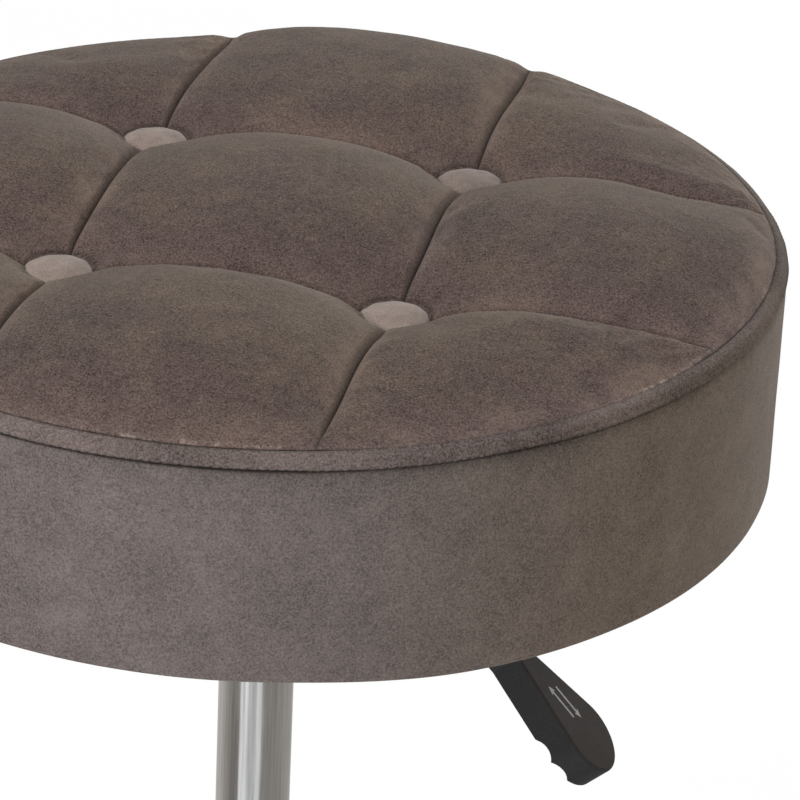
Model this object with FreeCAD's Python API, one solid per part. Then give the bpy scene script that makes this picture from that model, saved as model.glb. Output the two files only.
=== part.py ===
import FreeCAD, Part
import math
import os

# Swivel vanity stool: a tufted round cushion on a gas spring that stands in a weighted round base.
# Millimetres. The origin is on the floor under the column, +Z is up and +X runs along the lever.
# The seat is modelled at the top of its stroke.

Vector = FreeCAD.Vector
Z_AXIS = Vector(0, 0, 1)
Y_AXIS = Vector(0, 1, 0)

# Clearances
running_gap = 0.05
slide_gap = 0.08
bolt_gap = 0.2
soft_gap = 0.3
ball_gap = 0.1

# Base
base_radius = 195.0
cover_wall = 1.5
rim_lift = 3.0
foot_height = 5.0
foot_radius = 11.0
foot_count = 6
foot_inset = 14.0
foot_edge = 1.0
weight_thickness = 12.0
weight_chamfer = 5.0
rim_round = 6.0
dish_rise = 15.0
dish_radius = 72.0
neck_height = 46.0
neck_radius = 42.0

# Column socket on the base
hub_flange_radius = 52.0
hub_flange_thickness = 6.0
hub_boss_wall = 6.0
hub_height = 35.0
hub_bolt_count = 3
hub_bolt_circle = 41.0
hub_bolt_radius = 4.0
hub_bolt_head_radius = 6.5
hub_bolt_head_height = 5.5
hub_bolt_bite = 10.0
skirt_wall = 7.0
skirt_height = 6.0

# Stand tube
tube_radius = 25.0
tube_wall = 1.5
tube_length = 235.0
tube_taper = 0.8
end_plate_thickness = 3.0
bush_length = 60.0
bush_lip = 4.0

# Thrust bearing under the piston rod
race_radius = 14.0
race_thickness = 2.0
ball_radius = 2.5
ball_count = 8
ball_circle = 9.5
cage_thickness = 1.6
bump_radius = 16.0
bump_height = 10.0

# Gas spring
rod_radius = 5.0
rod_tail_radius = 4.0
rod_stud_radius = 3.0
rod_below_plate = 7.0
clip_radius = 8.0
clip_thickness = 1.5
stroke = 140.0
stop_margin = 3.0
spring_radius = 14.0
spring_wall = 1.5
spring_length = 255.0
spring_lip = 2.0
taper_length = 48.0
taper_drop = 0.8
cylinder_radius = 10.8
cylinder_wall = 1.0
guide_length = 16.0
seal_height = 4.0
piston_length = 10.0
piston_ring_height = 3.0
piston_ring_depth = 1.6
piston_margin = 5.0
valve_length = 36.0
pin_radius = 4.0
pin_length = 30.0
pin_stand = 5.0

# Seat, taken at the two sewn seams of its band
lower_seam_radius = 182.5
band_inset = 5.2
band_rise = 5.2
side_height = 77.6
cloth = 1.6
hem_width = 22.0
board_thickness = 15.0
board_margin = 6.0
dust_cloth = 0.8
staple_count = 24
staple_width = 10.0
staple_wire = 0.7

# Tufting: nine domed panels between four buttons
tuft_pitch = 118.3
centre_crest = 21.0
edge_crest = 18.5
corner_crest = 15.0
crease_height = 8.0
button_seat = -0.8
button_pinch = 3.0
shoulder_run = 12.0
shoulder_rise = 9.3
brow_run = 37.0
brow_rise = 17.0
crown_limit = 30.0
button_radius = 12.0
button_rim = 2.4
button_crown = 3.4
button_flat = 2.0
cord_radius = 0.8
anchor_radius = 8.0
anchor_thickness = 1.5

# Seat plate and its bracket
plate_side = 178.0
plate_thickness = 3.0
plate_corner = 14.0
plate_flange = 9.0
slot_pitch = 140.0
slot_width = 7.0
slot_length = 16.0
bracket_wall = 2.5
bracket_inside = 44.0
bracket_depth = 45.0
bracket_back = 34.0
bracket_front = 43.0
bracket_web_front = 22.0
bracket_foot = 10.0
socket_wall = 5.0
socket_length = 30.0
socket_below_web = 4.0
plate_bolt_radius = 3.0
plate_bolt_head_radius = 5.5
plate_bolt_head_height = 4.0
washer_radius = 8.0
washer_thickness = 1.5
tee_barrel_radius = 4.0
tee_flange_radius = 9.5
tee_flange_thickness = 1.2

# Release lever
pivot_x = 30.0
pivot_drop = 22.0
pivot_radius = 4.0
pivot_overhang = 3.0
pivot_clip_radius = 7.5
pivot_clip_thickness = 1.0
lever_slope = 48.0
lever_offset = 18.5
eye_radius = 9.0
arm_depth = 9.0
arm_thickness = 4.5
arm_reach = 112.0
finger_width = 10.0
finger_thickness = 4.5
finger_pad = 14.0
finger_relief = 2.5
handle_start = 70.0
handle_end = 149.0
handle_thickness = 13.0
neck_half_width = 5.3
palm_radius = 16.0
flare_start = 92.0
handle_edge = 1.3
groove_radius = 6.5
groove_depth = 2.8
groove_pitch = 9.4
groove_count = 2
groove_end_margin = 14.3
handle_screw_radius = 1.6
handle_screw_head = 3.2


def tube(outer, inner, low, high):
    """An upright tube between two heights."""
    body = Part.makeCylinder(outer, high - low, Vector(0, 0, low))
    hole = Part.makeCylinder(inner, high - low + 2, Vector(0, 0, low - 1))
    return body.cut(hole)


def disc(radius, low, high, x=0.0, y=0.0):
    """An upright cylinder between two heights."""
    return Part.makeCylinder(radius, high - low, Vector(x, y, low))


def line(a, b):
    """A straight edge between two (radius, height) points of a profile."""
    return Part.makeLine(Vector(a[0], 0, a[1]), Vector(b[0], 0, b[1]))


def arc(a, through, b):
    """A round edge of a profile through three (radius, height) points."""
    points = [Vector(r, 0, z) for r, z in (a, through, b)]
    return Part.Arc(*points).toShape()


def turn(edges):
    """The solid turned about Z by a closed profile of edges."""
    return Part.Face(Part.Wire(edges)).revolve(Vector(0, 0, 0), Z_AXIS, 360)


def turn_points(points):
    """The solid turned about Z by a closed polygon of (radius, height) points."""
    return turn([line(a, b) for a, b in zip(points, points[1:] + points[:1])])


def prism(points, width, centre=0.0):
    """A plate in the XZ plane from (x, z) points, with its width along Y about a centre."""
    corners = [Vector(x, centre - width / 2, z) for x, z in points]
    return Part.Face(Part.makePolygon(corners + corners[:1])).extrude(Vector(0, width, 0))


def on_circle(count, radius, start=0.0):
    """Evenly spaced (x, y, degrees) places on a circle."""
    places = []
    for index in range(count):
        degrees = start + 360.0 * index / count
        angle = math.radians(degrees)
        places.append((radius * math.cos(angle), radius * math.sin(angle), degrees))
    return places


def grid(half):
    """The four corners of a square centred on the column."""
    return [(x * half, y * half) for x in (-1, 1) for y in (-1, 1)]


def cut_all(body, tools):
    """The body with every tool taken away."""
    for tool in tools:
        body = body.cut(tool)
    return body


def hexagon(radius, low, high, x=0.0, y=0.0):
    """A hexagonal bolt head of a given corner radius."""
    corners = [Vector(x + u, y + v, low) for u, v, _ in on_circle(6, radius)]
    return Part.Face(Part.makePolygon(corners + corners[:1])).extrude(Vector(0, 0, high - low))


# Heights that follow from the driving sizes
weight_top = foot_height + weight_thickness
hub_base = weight_top
hub_top = hub_base + hub_height
tube_bottom = weight_top + end_plate_thickness
tube_top = tube_bottom + tube_length
plate_top_in_tube = tube_bottom + end_plate_thickness
lower_race_top = plate_top_in_tube + race_thickness
ball_centre = lower_race_top + ball_gap + ball_radius
upper_race_bottom = ball_centre + ball_radius + ball_gap
rod_shoulder = upper_race_bottom + race_thickness
bump_top = rod_shoulder + bump_height
spring_bottom = bump_top + stop_margin + stroke
spring_top = spring_bottom + spring_length
guide_top = spring_bottom + spring_lip + guide_length
piston_bottom = guide_top + seal_height + piston_margin
piston_top = piston_bottom + piston_length
valve_top = spring_top - spring_lip
valve_bottom = valve_top - valve_length
pin_top = spring_top + pin_stand
spring_bore = spring_radius - spring_wall
cylinder_bore = cylinder_radius - cylinder_wall

finger_bottom = pin_top + soft_gap
plate_bottom = finger_bottom + finger_thickness + soft_gap + 3.0
plate_top = plate_bottom + plate_thickness
board_bottom = plate_top + dust_cloth
seat_bottom = board_bottom - cloth
board_top = board_bottom + board_thickness
seam_height = seat_bottom + side_height
upper_seam = seam_height + band_rise
upper_seam_radius = lower_seam_radius - band_inset
tuft_half = tuft_pitch / 2
cover_rim_radius = upper_seam_radius - cloth * 0.75
foam_radius = lower_seam_radius - cloth - soft_gap
board_radius = foam_radius - board_margin
pivot_height = plate_bottom - pivot_drop
bracket_bottom = plate_bottom - bracket_depth


def taper_radius(height, extra=0.0):
    """Radius of the gas spring's tapered head at a height."""
    along = (height - (spring_top - taper_length)) / taper_length
    return spring_radius - taper_drop * max(0.0, along) + extra


def stand_radius(height, extra=0.0):
    """Radius of the stand tube, whose foot is drawn in where the hub holds it."""
    below = (hub_top - height) / (hub_top - tube_bottom)
    return tube_radius - tube_taper * max(0.0, below) + extra


# Weighted base
def make_floor_pads():
    """Rubber pads under the weight's edge that the stool stands on."""
    pads = []
    for x, y, _ in on_circle(foot_count, base_radius - foot_inset, 0):
        pad = turn_points([(0, 0), (foot_radius - foot_edge, 0), (foot_radius, foot_edge),
                           (foot_radius, foot_height), (0, foot_height)])
        pad.translate(Vector(x, y, 0))
        pads.append(pad)
    return Part.makeCompound(pads)


def make_base_weight():
    """Cast disc that keeps the stool from tipping, bored for the hub bolts and the rod's end."""
    outer = base_radius - cover_wall - soft_gap
    bore = tube_radius + 2
    weight = turn_points([(bore, foot_height), (outer, foot_height), (outer, weight_top - weight_chamfer),
                          (outer - weight_chamfer, weight_top), (bore, weight_top)])
    holes = [disc(hub_bolt_radius + running_gap, weight_top - hub_bolt_bite, weight_top + 1, x, y)
             for x, y, _ in on_circle(hub_bolt_count, hub_bolt_circle, 90)]
    return cut_all(weight, holes)


def cover_solid(inset):
    """The space under the dished cover, drawn in by an inset."""
    rim = base_radius - inset
    shoulder = weight_top + cover_wall + 1.0 - inset
    neck = neck_height - inset
    corner = rim_round - inset
    bend = corner * (1 - math.sqrt(0.5))
    edges = [
        line((0, rim_lift - inset), (rim, rim_lift - inset)),
        line((rim, rim_lift - inset), (rim, shoulder - corner)),
        arc((rim, shoulder - corner), (rim - bend, shoulder - bend), (rim - corner, shoulder)),
        line((rim - corner, shoulder), (dish_radius - inset, shoulder + dish_rise)),
        arc((dish_radius - inset, shoulder + dish_rise), (dish_radius - inset - 18, shoulder + dish_rise + 4.5),
            (neck_radius - inset, neck)),
        line((neck_radius - inset, neck), (0, neck)),
        line((0, neck), (0, rim_lift - inset)),
    ]
    return turn(edges)


def make_base_cover():
    """Spun steel cover over the weight, open at the neck for the hub."""
    shell = cover_solid(0).cut(cover_solid(cover_wall))
    return shell.cut(disc(tube_radius + hub_boss_wall + soft_gap, 0, neck_height + 10))


def make_base_hub():
    """Flanged socket that grips the drawn-in foot of the stand tube."""
    boss = tube_radius + hub_boss_wall
    flange_top = hub_base + hub_flange_thickness
    hub = turn_points([
        (stand_radius(hub_base, running_gap), hub_base), (hub_flange_radius, hub_base),
        (hub_flange_radius, flange_top), (boss + 3, flange_top), (boss, flange_top + 3), (boss, hub_top),
        (stand_radius(hub_top, running_gap), hub_top)])
    holes = [disc(hub_bolt_radius + bolt_gap, hub_base - 1, flange_top + 1, x, y)
             for x, y, _ in on_circle(hub_bolt_count, hub_bolt_circle, 90)]
    return cut_all(hub, holes)


def make_hub_bolts():
    """Three hex bolts through the hub's flange into the weight."""
    flange_top = hub_base + hub_flange_thickness
    bolts = []
    for x, y, _ in on_circle(hub_bolt_count, hub_bolt_circle, 90):
        head = hexagon(hub_bolt_head_radius, flange_top, flange_top + hub_bolt_head_height, x, y)
        shank = disc(hub_bolt_radius, weight_top - hub_bolt_bite + 1, flange_top, x, y)
        bolts.append(head.fuse(shank).removeSplitter())
    return Part.makeCompound(bolts)


def make_column_skirt():
    """Turned trim ring that hides the hub's top where the tube enters the cover."""
    boss = tube_radius + hub_boss_wall + soft_gap
    outer = boss + skirt_wall
    ledge = hub_top + soft_gap
    top = ledge + skirt_height
    tube_hole = tube_radius + soft_gap
    edges = [
        line((boss, neck_height), (outer, neck_height)),
        line((outer, neck_height), (outer, neck_height + 3)),
        arc((outer, neck_height + 3), (outer - 2.5, top - 3.5), (outer - 8, top)),
        line((outer - 8, top), (tube_hole, top)),
        line((tube_hole, top), (tube_hole, ledge)),
        line((tube_hole, ledge), (boss, ledge)),
        line((boss, ledge), (boss, neck_height)),
    ]
    return turn(edges)


def make_outer_tube():
    """Stand tube of the gas spring, with its foot drawn in for the hub."""
    return turn_points([
        (stand_radius(tube_bottom, -tube_wall), tube_bottom), (stand_radius(tube_bottom), tube_bottom),
        (tube_radius, hub_top), (tube_radius, tube_top),
        (tube_radius - tube_wall, tube_top), (tube_radius - tube_wall, hub_top)])


def make_tube_end_plate():
    """Plate that closes the stand tube's foot and carries the thrust bearing."""
    edge = stand_radius(tube_bottom, -tube_wall - running_gap)
    return tube(edge, rod_tail_radius + bolt_gap, tube_bottom, plate_top_in_tube)


def make_guide_bush():
    """Plastic bush in the stand tube's mouth that guides the spring."""
    bore = spring_radius + slide_gap
    body = tube_radius - tube_wall - running_gap
    lip = tube_top + bush_lip
    edges = [
        line((bore, tube_top - bush_length), (body, tube_top - bush_length)),
        line((body, tube_top - bush_length), (body, tube_top)),
        line((body, tube_top), (tube_radius, tube_top)),
        line((tube_radius, tube_top), (tube_radius, tube_top + 1)),
        arc((tube_radius, tube_top + 1), (tube_radius - 1.4, lip - 1.2), (tube_radius - 4.5, lip)),
        line((tube_radius - 4.5, lip), (bore + 1, lip)),
        line((bore + 1, lip), (bore, lip - 1)),
        line((bore, lip - 1), (bore, tube_top - bush_length)),
    ]
    return turn(edges)


# Thrust bearing
def make_lower_race():
    """Race washer on the tube's end plate."""
    return tube(race_radius, rod_tail_radius + bolt_gap, plate_top_in_tube, lower_race_top)


def make_thrust_cage():
    """Flat cage that spaces the balls."""
    low = ball_centre - cage_thickness / 2
    cage = tube(race_radius - 0.5, rod_tail_radius + 1, low, low + cage_thickness)
    pockets = [disc(ball_radius + ball_gap, low - 1, low + cage_thickness + 1, x, y)
               for x, y, _ in on_circle(ball_count, ball_circle)]
    return cut_all(cage, pockets)


def make_thrust_balls():
    """Steel balls that the rod turns on."""
    return Part.makeCompound([Part.makeSphere(ball_radius, Vector(x, y, ball_centre))
                              for x, y, _ in on_circle(ball_count, ball_circle)])


def make_upper_race():
    """Race washer under the rod's shoulder."""
    return tube(race_radius, rod_tail_radius + running_gap, upper_race_bottom, rod_shoulder)


def make_bump_stop():
    """Rubber ring that the spring lands on at the bottom of its stroke."""
    waist = bump_radius - 2
    middle = rod_shoulder + bump_height / 2
    inner = rod_radius + running_gap
    edges = [
        line((inner, rod_shoulder), (bump_radius, rod_shoulder)),
        arc((bump_radius, rod_shoulder), (waist, middle), (bump_radius, bump_top)),
        line((bump_radius, bump_top), (inner, bump_top)),
        line((inner, bump_top), (inner, rod_shoulder)),
    ]
    return turn(edges)


# Gas spring
def make_piston_rod():
    """Stepped rod that hangs from the piston and ends below the end plate."""
    bottom = tube_bottom - rod_below_plate
    rod = disc(rod_radius, rod_shoulder, piston_bottom)
    tail = disc(rod_tail_radius, bottom, rod_shoulder)
    stud = disc(rod_stud_radius, piston_bottom, piston_top + 3)
    groove = tube(rod_tail_radius + 1, rod_tail_radius - 0.8, tube_bottom - soft_gap - clip_thickness,
                  tube_bottom - soft_gap)
    return rod.fuse([tail, stud]).cut(groove).removeSplitter()


def make_rod_clip():
    """Retaining clip in the rod's groove, under the end plate."""
    high = tube_bottom - soft_gap
    clip = tube(clip_radius, rod_tail_radius - 0.8 + running_gap, high - clip_thickness + 0.1, high - 0.1)
    mouth = Part.makeBox(clip_radius + 1, 5.0, 10, Vector(0, -2.5, high - 5))
    return clip.cut(mouth)


def piston_groove(depth_gap):
    """The ring groove of the piston."""
    middle = (piston_bottom + piston_top) / 2
    edge = cylinder_bore - running_gap
    half = piston_ring_height / 2 + depth_gap
    return tube(edge + 1, edge - piston_ring_depth - depth_gap, middle - half, middle + half)


def make_piston():
    """Piston on the rod's stud."""
    body = tube(cylinder_bore - running_gap, rod_stud_radius + running_gap, piston_bottom, piston_top)
    return body.cut(piston_groove(running_gap))


def make_piston_ring():
    """Ring that seals the piston in the inner cylinder."""
    middle = (piston_bottom + piston_top) / 2
    edge = cylinder_bore - running_gap
    half = piston_ring_height / 2
    return tube(edge, edge - piston_ring_depth, middle - half, middle + half)


def make_pressure_tube():
    """Brushed tube of the gas spring, tapered at its head and crimped at both ends."""
    taper_start = spring_top - taper_length
    crimp = rod_radius + 2
    mouth = pin_radius + 2
    return turn_points([
        (crimp, spring_bottom), (spring_radius - 0.8, spring_bottom), (spring_radius, spring_bottom + 0.8),
        (spring_radius, taper_start), (taper_radius(spring_top), spring_top), (mouth, spring_top),
        (mouth, valve_top), (spring_bore, valve_top), (spring_bore, spring_bottom + spring_lip),
        (crimp, spring_bottom + spring_lip)])


def make_rod_guide():
    """Guide that centres the rod in the spring's lower end."""
    return tube(spring_bore - running_gap, rod_radius + running_gap, spring_bottom + spring_lip, guide_top)


def make_rod_seal():
    """Lip seal above the rod guide."""
    outer = cylinder_bore - running_gap
    inner = rod_radius + running_gap
    top = guide_top + seal_height
    return turn_points([(inner, guide_top), (outer, guide_top), (outer, top), (outer - 1.2, top),
                        (outer - 1.8, guide_top + 2), (inner + 1.2, guide_top + 2), (inner, top)])


def make_inner_cylinder():
    """Bore that the piston runs in, held between the guide and the valve."""
    return tube(cylinder_radius, cylinder_bore, guide_top, valve_bottom)


def make_valve_body():
    """Valve in the spring's head, with the bore of its pin."""
    body = tube(spring_bore - running_gap, pin_radius + running_gap, valve_bottom, valve_top)
    gallery = tube(spring_bore, spring_bore - 2, valve_bottom + 10, valve_bottom + 13)
    return body.cut(gallery)


def make_valve_pin():
    """Release pin that stands out of the spring's head."""
    shoulder = pin_top - 1.2
    low = pin_top - pin_length
    edges = [
        line((0, low), (pin_radius, low)),
        line((pin_radius, low), (pin_radius, shoulder)),
        arc((pin_radius, shoulder), (pin_radius - 0.3, pin_top - 0.4), (pin_radius - 1.4, pin_top)),
        line((pin_radius - 1.4, pin_top), (0, pin_top)),
        line((0, pin_top), (0, low)),
    ]
    return turn(edges)


# Seat plate, bracket and socket
def plate_slots(low, high):
    """The four bolt slots, long along X."""
    slots = []
    reach = (slot_length - slot_width) / 2
    for x, y in grid(slot_pitch / 2):
        middle = Part.makeBox(2 * reach, slot_width, high - low, Vector(x - reach, y - slot_width / 2, low))
        ends = [disc(slot_width / 2, low, high, x + side * reach, y) for side in (-1, 1)]
        slots.append(middle.fuse(ends))
    return slots


def make_seat_plate():
    """Pressed plate under the board, stiffened by two turned-down flanges."""
    half = plate_side / 2
    plate = Part.makeBox(plate_side, plate_side, plate_thickness, Vector(-half, -half, plate_bottom))
    upright = [edge for edge in plate.Edges if abs(edge.tangentAt(edge.FirstParameter).z) > 0.9]
    plate = plate.makeFillet(plate_corner, upright)
    run = plate_side - 2 * plate_corner
    low = plate_bottom - plate_flange
    for side in (-half, half - plate_thickness):
        plate = plate.fuse(Part.makeBox(run, plate_thickness, plate_flange, Vector(-run / 2, side, low)))
    return cut_all(plate.removeSplitter(), plate_slots(plate_bottom - 1, plate_top + 1))


def make_lever_bracket():
    """Channel under the plate: two cheeks that carry the pivot and a web that carries the socket."""
    low = bracket_bottom
    web_top = low + bracket_wall
    side = [(-bracket_back, plate_bottom), (-bracket_back, low), (bracket_web_front, low),
            (bracket_front, low + 14), (bracket_front, plate_bottom)]
    middle = (bracket_inside + bracket_wall) / 2
    cheeks = [prism(side, bracket_wall, y) for y in (-middle, middle)]
    web = Part.makeBox(bracket_back + bracket_web_front, bracket_inside, bracket_wall,
                       Vector(-bracket_back, -bracket_inside / 2, low))
    web = web.cut(disc(socket_outer() + running_gap, low - 1, web_top + 1))
    length = bracket_back + bracket_front
    feet = []
    for direction in (-1, 1):
        start = direction * (bracket_inside / 2 + bracket_wall)
        corner = min(start, start + direction * bracket_foot)
        feet.append(Part.makeBox(length, bracket_foot, bracket_wall,
                                 Vector(-bracket_back, corner, plate_bottom - bracket_wall)))
    bracket = cheeks[0].fuse([cheeks[1], web] + feet).removeSplitter()
    bore = Part.makeCylinder(pivot_radius + running_gap, bracket_inside + 20,
                             Vector(pivot_x, -bracket_inside / 2 - 10, pivot_height), Y_AXIS)
    return bracket.cut(bore)


def socket_outer():
    """Outer radius of the taper socket."""
    return spring_radius + socket_wall


def make_taper_socket():
    """Socket that wedges on the spring's tapered head and carries the bracket."""
    low = bracket_bottom - socket_below_web
    high = low + socket_length
    outer = socket_outer()
    kink = max(low, spring_top - taper_length)
    points = [(taper_radius(low, running_gap), low), (outer - 1, low), (outer, low + 1), (outer, high - 1),
              (outer - 1, high), (taper_radius(high, running_gap), high)]
    if low < kink < high:
        points.append((taper_radius(kink, running_gap), kink))
    return turn_points(points)


def make_plate_bolts():
    """Four hex bolts from under the plate into the tee nuts."""
    bolts = []
    for x, y in grid(slot_pitch / 2):
        seat = plate_bottom - washer_thickness
        head = hexagon(plate_bolt_head_radius, seat - plate_bolt_head_height, seat, x, y)
        shank = disc(plate_bolt_radius, seat, board_top - 2, x, y)
        bolts.append(head.fuse(shank).removeSplitter())
    return Part.makeCompound(bolts)


def make_plate_washers():
    """Washers that bridge the slots."""
    low = plate_bottom - washer_thickness
    washers = []
    for x, y in grid(slot_pitch / 2):
        washer = tube(washer_radius, plate_bolt_radius + bolt_gap, low, plate_bottom)
        washer.translate(Vector(x, y, 0))
        washers.append(washer)
    return Part.makeCompound(washers)


def make_tee_nuts():
    """Flanged nuts let into the board from above."""
    nuts = []
    flange_low = board_top - tee_flange_thickness
    for x, y in grid(slot_pitch / 2):
        barrel = tube(tee_barrel_radius, plate_bolt_radius + running_gap, board_bottom + 3, board_top)
        flange = tube(tee_flange_radius, plate_bolt_radius + running_gap, flange_low, board_top)
        nut = barrel.fuse(flange).removeSplitter()
        nut.translate(Vector(x, y, 0))
        nuts.append(nut)
    return Part.makeCompound(nuts)


# Cushion
def make_seat_board():
    """Round plywood board, drilled for the tee nuts and the tuft cords."""
    board = disc(board_radius, board_bottom, board_top)
    holes = []
    for x, y in grid(slot_pitch / 2):
        holes.append(disc(tee_barrel_radius + running_gap, board_bottom - 1, board_top + 1, x, y))
        holes.append(disc(tee_flange_radius + bolt_gap, board_top - tee_flange_thickness, board_top + 1, x, y))
    for x, y in grid(tuft_half):
        holes.append(disc(cord_radius + soft_gap, board_bottom - 1, board_top + 1, x, y))
        holes.append(disc(anchor_radius + bolt_gap, board_bottom - 1, board_bottom + anchor_thickness, x, y))
    return cut_all(board, holes)


def tuft_section(y, centre, crease, outer, edge, drop):
    """One upright section of the tufted top: three arcs over a flat foot."""
    reach = lower_seam_radius + 10
    low = seam_height - 20
    base = seam_height - drop

    def at(x, height):
        return Vector(x, y, base + height)

    middle = (tuft_half + reach) / 2
    points = [(-reach, edge), (-middle, outer), (-tuft_half, crease), (0, centre),
              (tuft_half, crease), (middle, outer), (reach, edge)]
    spots = [at(x, height) for x, height in points]
    left_foot = Vector(-reach, y, low)
    right_foot = Vector(reach, y, low)
    return Part.Wire([
        Part.makeLine(left_foot, spots[0]),
        Part.Arc(spots[0], spots[1], spots[2]).toShape(),
        Part.Arc(spots[2], spots[3], spots[4]).toShape(),
        Part.Arc(spots[4], spots[5], spots[6]).toShape(),
        Part.makeLine(spots[6], right_foot),
        Part.makeLine(right_foot, left_foot),
    ])


def tufted_rows(drop):
    """Three rows of puffed panels, each a loft from crease to crease."""
    reach = lower_seam_radius + 10
    edge = band_rise + 1
    seam = (crease_height, button_seat + button_pinch, crease_height, edge)
    crest = (centre_crest, crease_height, edge_crest, edge)
    outer_crest = (edge_crest, crease_height, corner_crest, edge)
    rim = (edge + 0.6, edge, edge + 0.6, edge)

    def between(low, high, share):
        return tuple(a + (b - a) * share for a, b in zip(low, high))

    swell = 0.78
    middle_row = [(-tuft_half, seam), (-tuft_half / 2, between(seam, crest, swell)), (0, crest),
                  (tuft_half / 2, between(seam, crest, swell)), (tuft_half, seam)]
    top = (tuft_half + reach) / 2
    near = (tuft_half + top) / 2
    far = (top + reach) / 2
    outer_row = [(tuft_half, seam), (near, between(seam, outer_crest, swell)), (top, outer_crest),
                 (far, between(rim, outer_crest, swell)), (reach, rim)]
    inner_row = [(-y, heights) for y, heights in outer_row[::-1]]
    rows = []
    for row in (inner_row, middle_row, outer_row):
        sections = [tuft_section(y, *heights, drop) for y, heights in row]
        rows.append(Part.makeLoft(sections, True, False))
    return rows[0].fuse([rows[1], rows[2]])


def tufted_block(profile, drop):
    """The tufted top inside a turned outline, with a well for each button."""
    block = tufted_rows(drop).common(turn(profile))
    wells = [disc(button_radius + soft_gap + drop, seam_height + button_seat - drop, seam_height + 60, x, y)
             for x, y in grid(tuft_half)]
    return cut_all(block, wells)


def crown_profile(rim, drop, low):
    """Turned outline of the crown: an upright rim, a rounded shoulder and a brow."""
    base = upper_seam - drop
    start = (rim, base)
    shoulder = (rim - shoulder_run, base + shoulder_rise)
    brow = (rim - brow_run, base + brow_rise)
    top = base + crown_limit
    return [
        line((0, low), (rim, low)),
        line((rim, low), start),
        arc(start, shoulder, brow),
        line(brow, (0, top)),
        line((0, top), (0, low)),
    ]


def make_top_cover():
    """Tufted top cloth, sewn to the band at the upper seam."""
    low = seam_height - 15
    outer = tufted_block(crown_profile(cover_rim_radius, 0, low), 0)
    inner = tufted_block(crown_profile(cover_rim_radius - cloth, cloth, low - 1), cloth)
    cloth_shell = outer.cut(inner)
    skirt = tube(cover_rim_radius + 5, cover_rim_radius - 8, low - 1, upper_seam - cloth)
    cords = [disc(cord_radius + soft_gap, low, upper_seam, x, y) for x, y in grid(tuft_half)]
    return cut_all(cloth_shell, [skirt] + cords)


def make_border_band():
    """Narrow band between the two sewn seams."""
    width = math.hypot(band_inset, band_rise)
    across = cloth * band_rise / width
    down = cloth * band_inset / width
    low = seam_height + 0.2
    high = upper_seam - 0.2
    return turn_points([(lower_seam_radius, low), (upper_seam_radius + 0.2, high),
                        (upper_seam_radius + 0.2 - across, high - down),
                        (lower_seam_radius - across, low - down)])


def make_side_cover():
    """Straight side cloth, turned under the board and closed by the lower seam."""
    top = seam_height - cloth
    wall = tube(lower_seam_radius, lower_seam_radius - cloth, seat_bottom, top)
    hem = tube(lower_seam_radius, lower_seam_radius - hem_width, seat_bottom, board_bottom)
    return wall.fuse(hem).removeSplitter()


def make_foam_pad():
    """Foam block that fills the cover and wraps the board's edge."""
    rim = cover_rim_radius - cloth - soft_gap
    drop = cloth + soft_gap
    low = board_bottom
    shoulder = seam_height - 2 * cloth
    crown = crown_profile(rim, drop, low)
    profile = [
        line((0, low), (foam_radius, low)),
        line((foam_radius, low), (foam_radius, shoulder)),
        line((foam_radius, shoulder), (rim, upper_seam - drop)),
    ] + crown[2:]
    lower = turn_points([(0, low), (foam_radius, low), (foam_radius, seam_height - 15), (0, seam_height - 15)])
    foam = tufted_block(profile, drop).fuse(lower)
    foam = foam.cut(disc(board_radius + soft_gap, low - 1, board_top))
    cords = [disc(cord_radius + soft_gap, low - 1, upper_seam, x, y) for x, y in grid(tuft_half)]
    return cut_all(foam, cords)


def make_dust_cover():
    """Thin cloth that closes the underside, inside the hem."""
    cloth_disc = disc(lower_seam_radius - hem_width - soft_gap, board_bottom - dust_cloth, board_bottom)
    holes = [disc(plate_bolt_radius + soft_gap, board_bottom - 2, board_bottom + 1, x, y)
             for x, y in grid(slot_pitch / 2)]
    return cut_all(cloth_disc, holes)


def make_cover_staples():
    """Staples that hold the hem to the board."""
    staples = []
    circle = lower_seam_radius - hem_width / 2
    for _, _, degrees in on_circle(staple_count, circle):
        staple = Part.makeBox(staple_wire, staple_width, staple_wire,
                              Vector(circle, -staple_width / 2, seat_bottom - staple_wire))
        staple.rotate(Vector(0, 0, 0), Z_AXIS, degrees)
        staples.append(staple)
    return Part.makeCompound(staples)


def make_tuft_buttons():
    """Four cloth covered buttons in their wells."""
    low = seam_height + button_seat
    rim = low + button_rim
    edges = [
        line((0, low), (button_radius - 1.2, low)),
        line((button_radius - 1.2, low), (button_radius, low + 1.2)),
        line((button_radius, low + 1.2), (button_radius - 0.5, rim)),
        arc((button_radius - 0.5, rim), (button_radius * 0.62, rim + button_crown * 0.72),
            (button_flat, rim + button_crown)),
        line((button_flat, rim + button_crown), (0, rim + button_crown)),
        line((0, rim + button_crown), (0, low)),
    ]
    button = turn(edges)
    buttons = []
    for x, y in grid(tuft_half):
        copy = button.copy()
        copy.translate(Vector(x, y, 0))
        buttons.append(copy)
    return Part.makeCompound(buttons)


def make_tuft_cords():
    """Twine from each button down to its anchor."""
    return Part.makeCompound([disc(cord_radius, board_bottom + 0.2, seam_height + button_seat, x, y)
                              for x, y in grid(tuft_half)])


def make_cord_anchors():
    """Washers under the board that the twine is knotted on."""
    anchors = []
    for x, y in grid(tuft_half):
        anchor = tube(anchor_radius, cord_radius + running_gap, board_bottom, board_bottom + anchor_thickness)
        anchor.translate(Vector(x, y, 0))
        anchors.append(anchor)
    return Part.makeCompound(anchors)


# Release lever, drawn along +X at the pivot and then tilted down to its real slope
def place_lever(shape):
    """Moves a lever piece from its own drawing to the pivot."""
    shape.rotate(Vector(0, 0, 0), Y_AXIS, lever_slope)
    shape.translate(Vector(pivot_x, lever_offset, pivot_height))
    return shape


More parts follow.
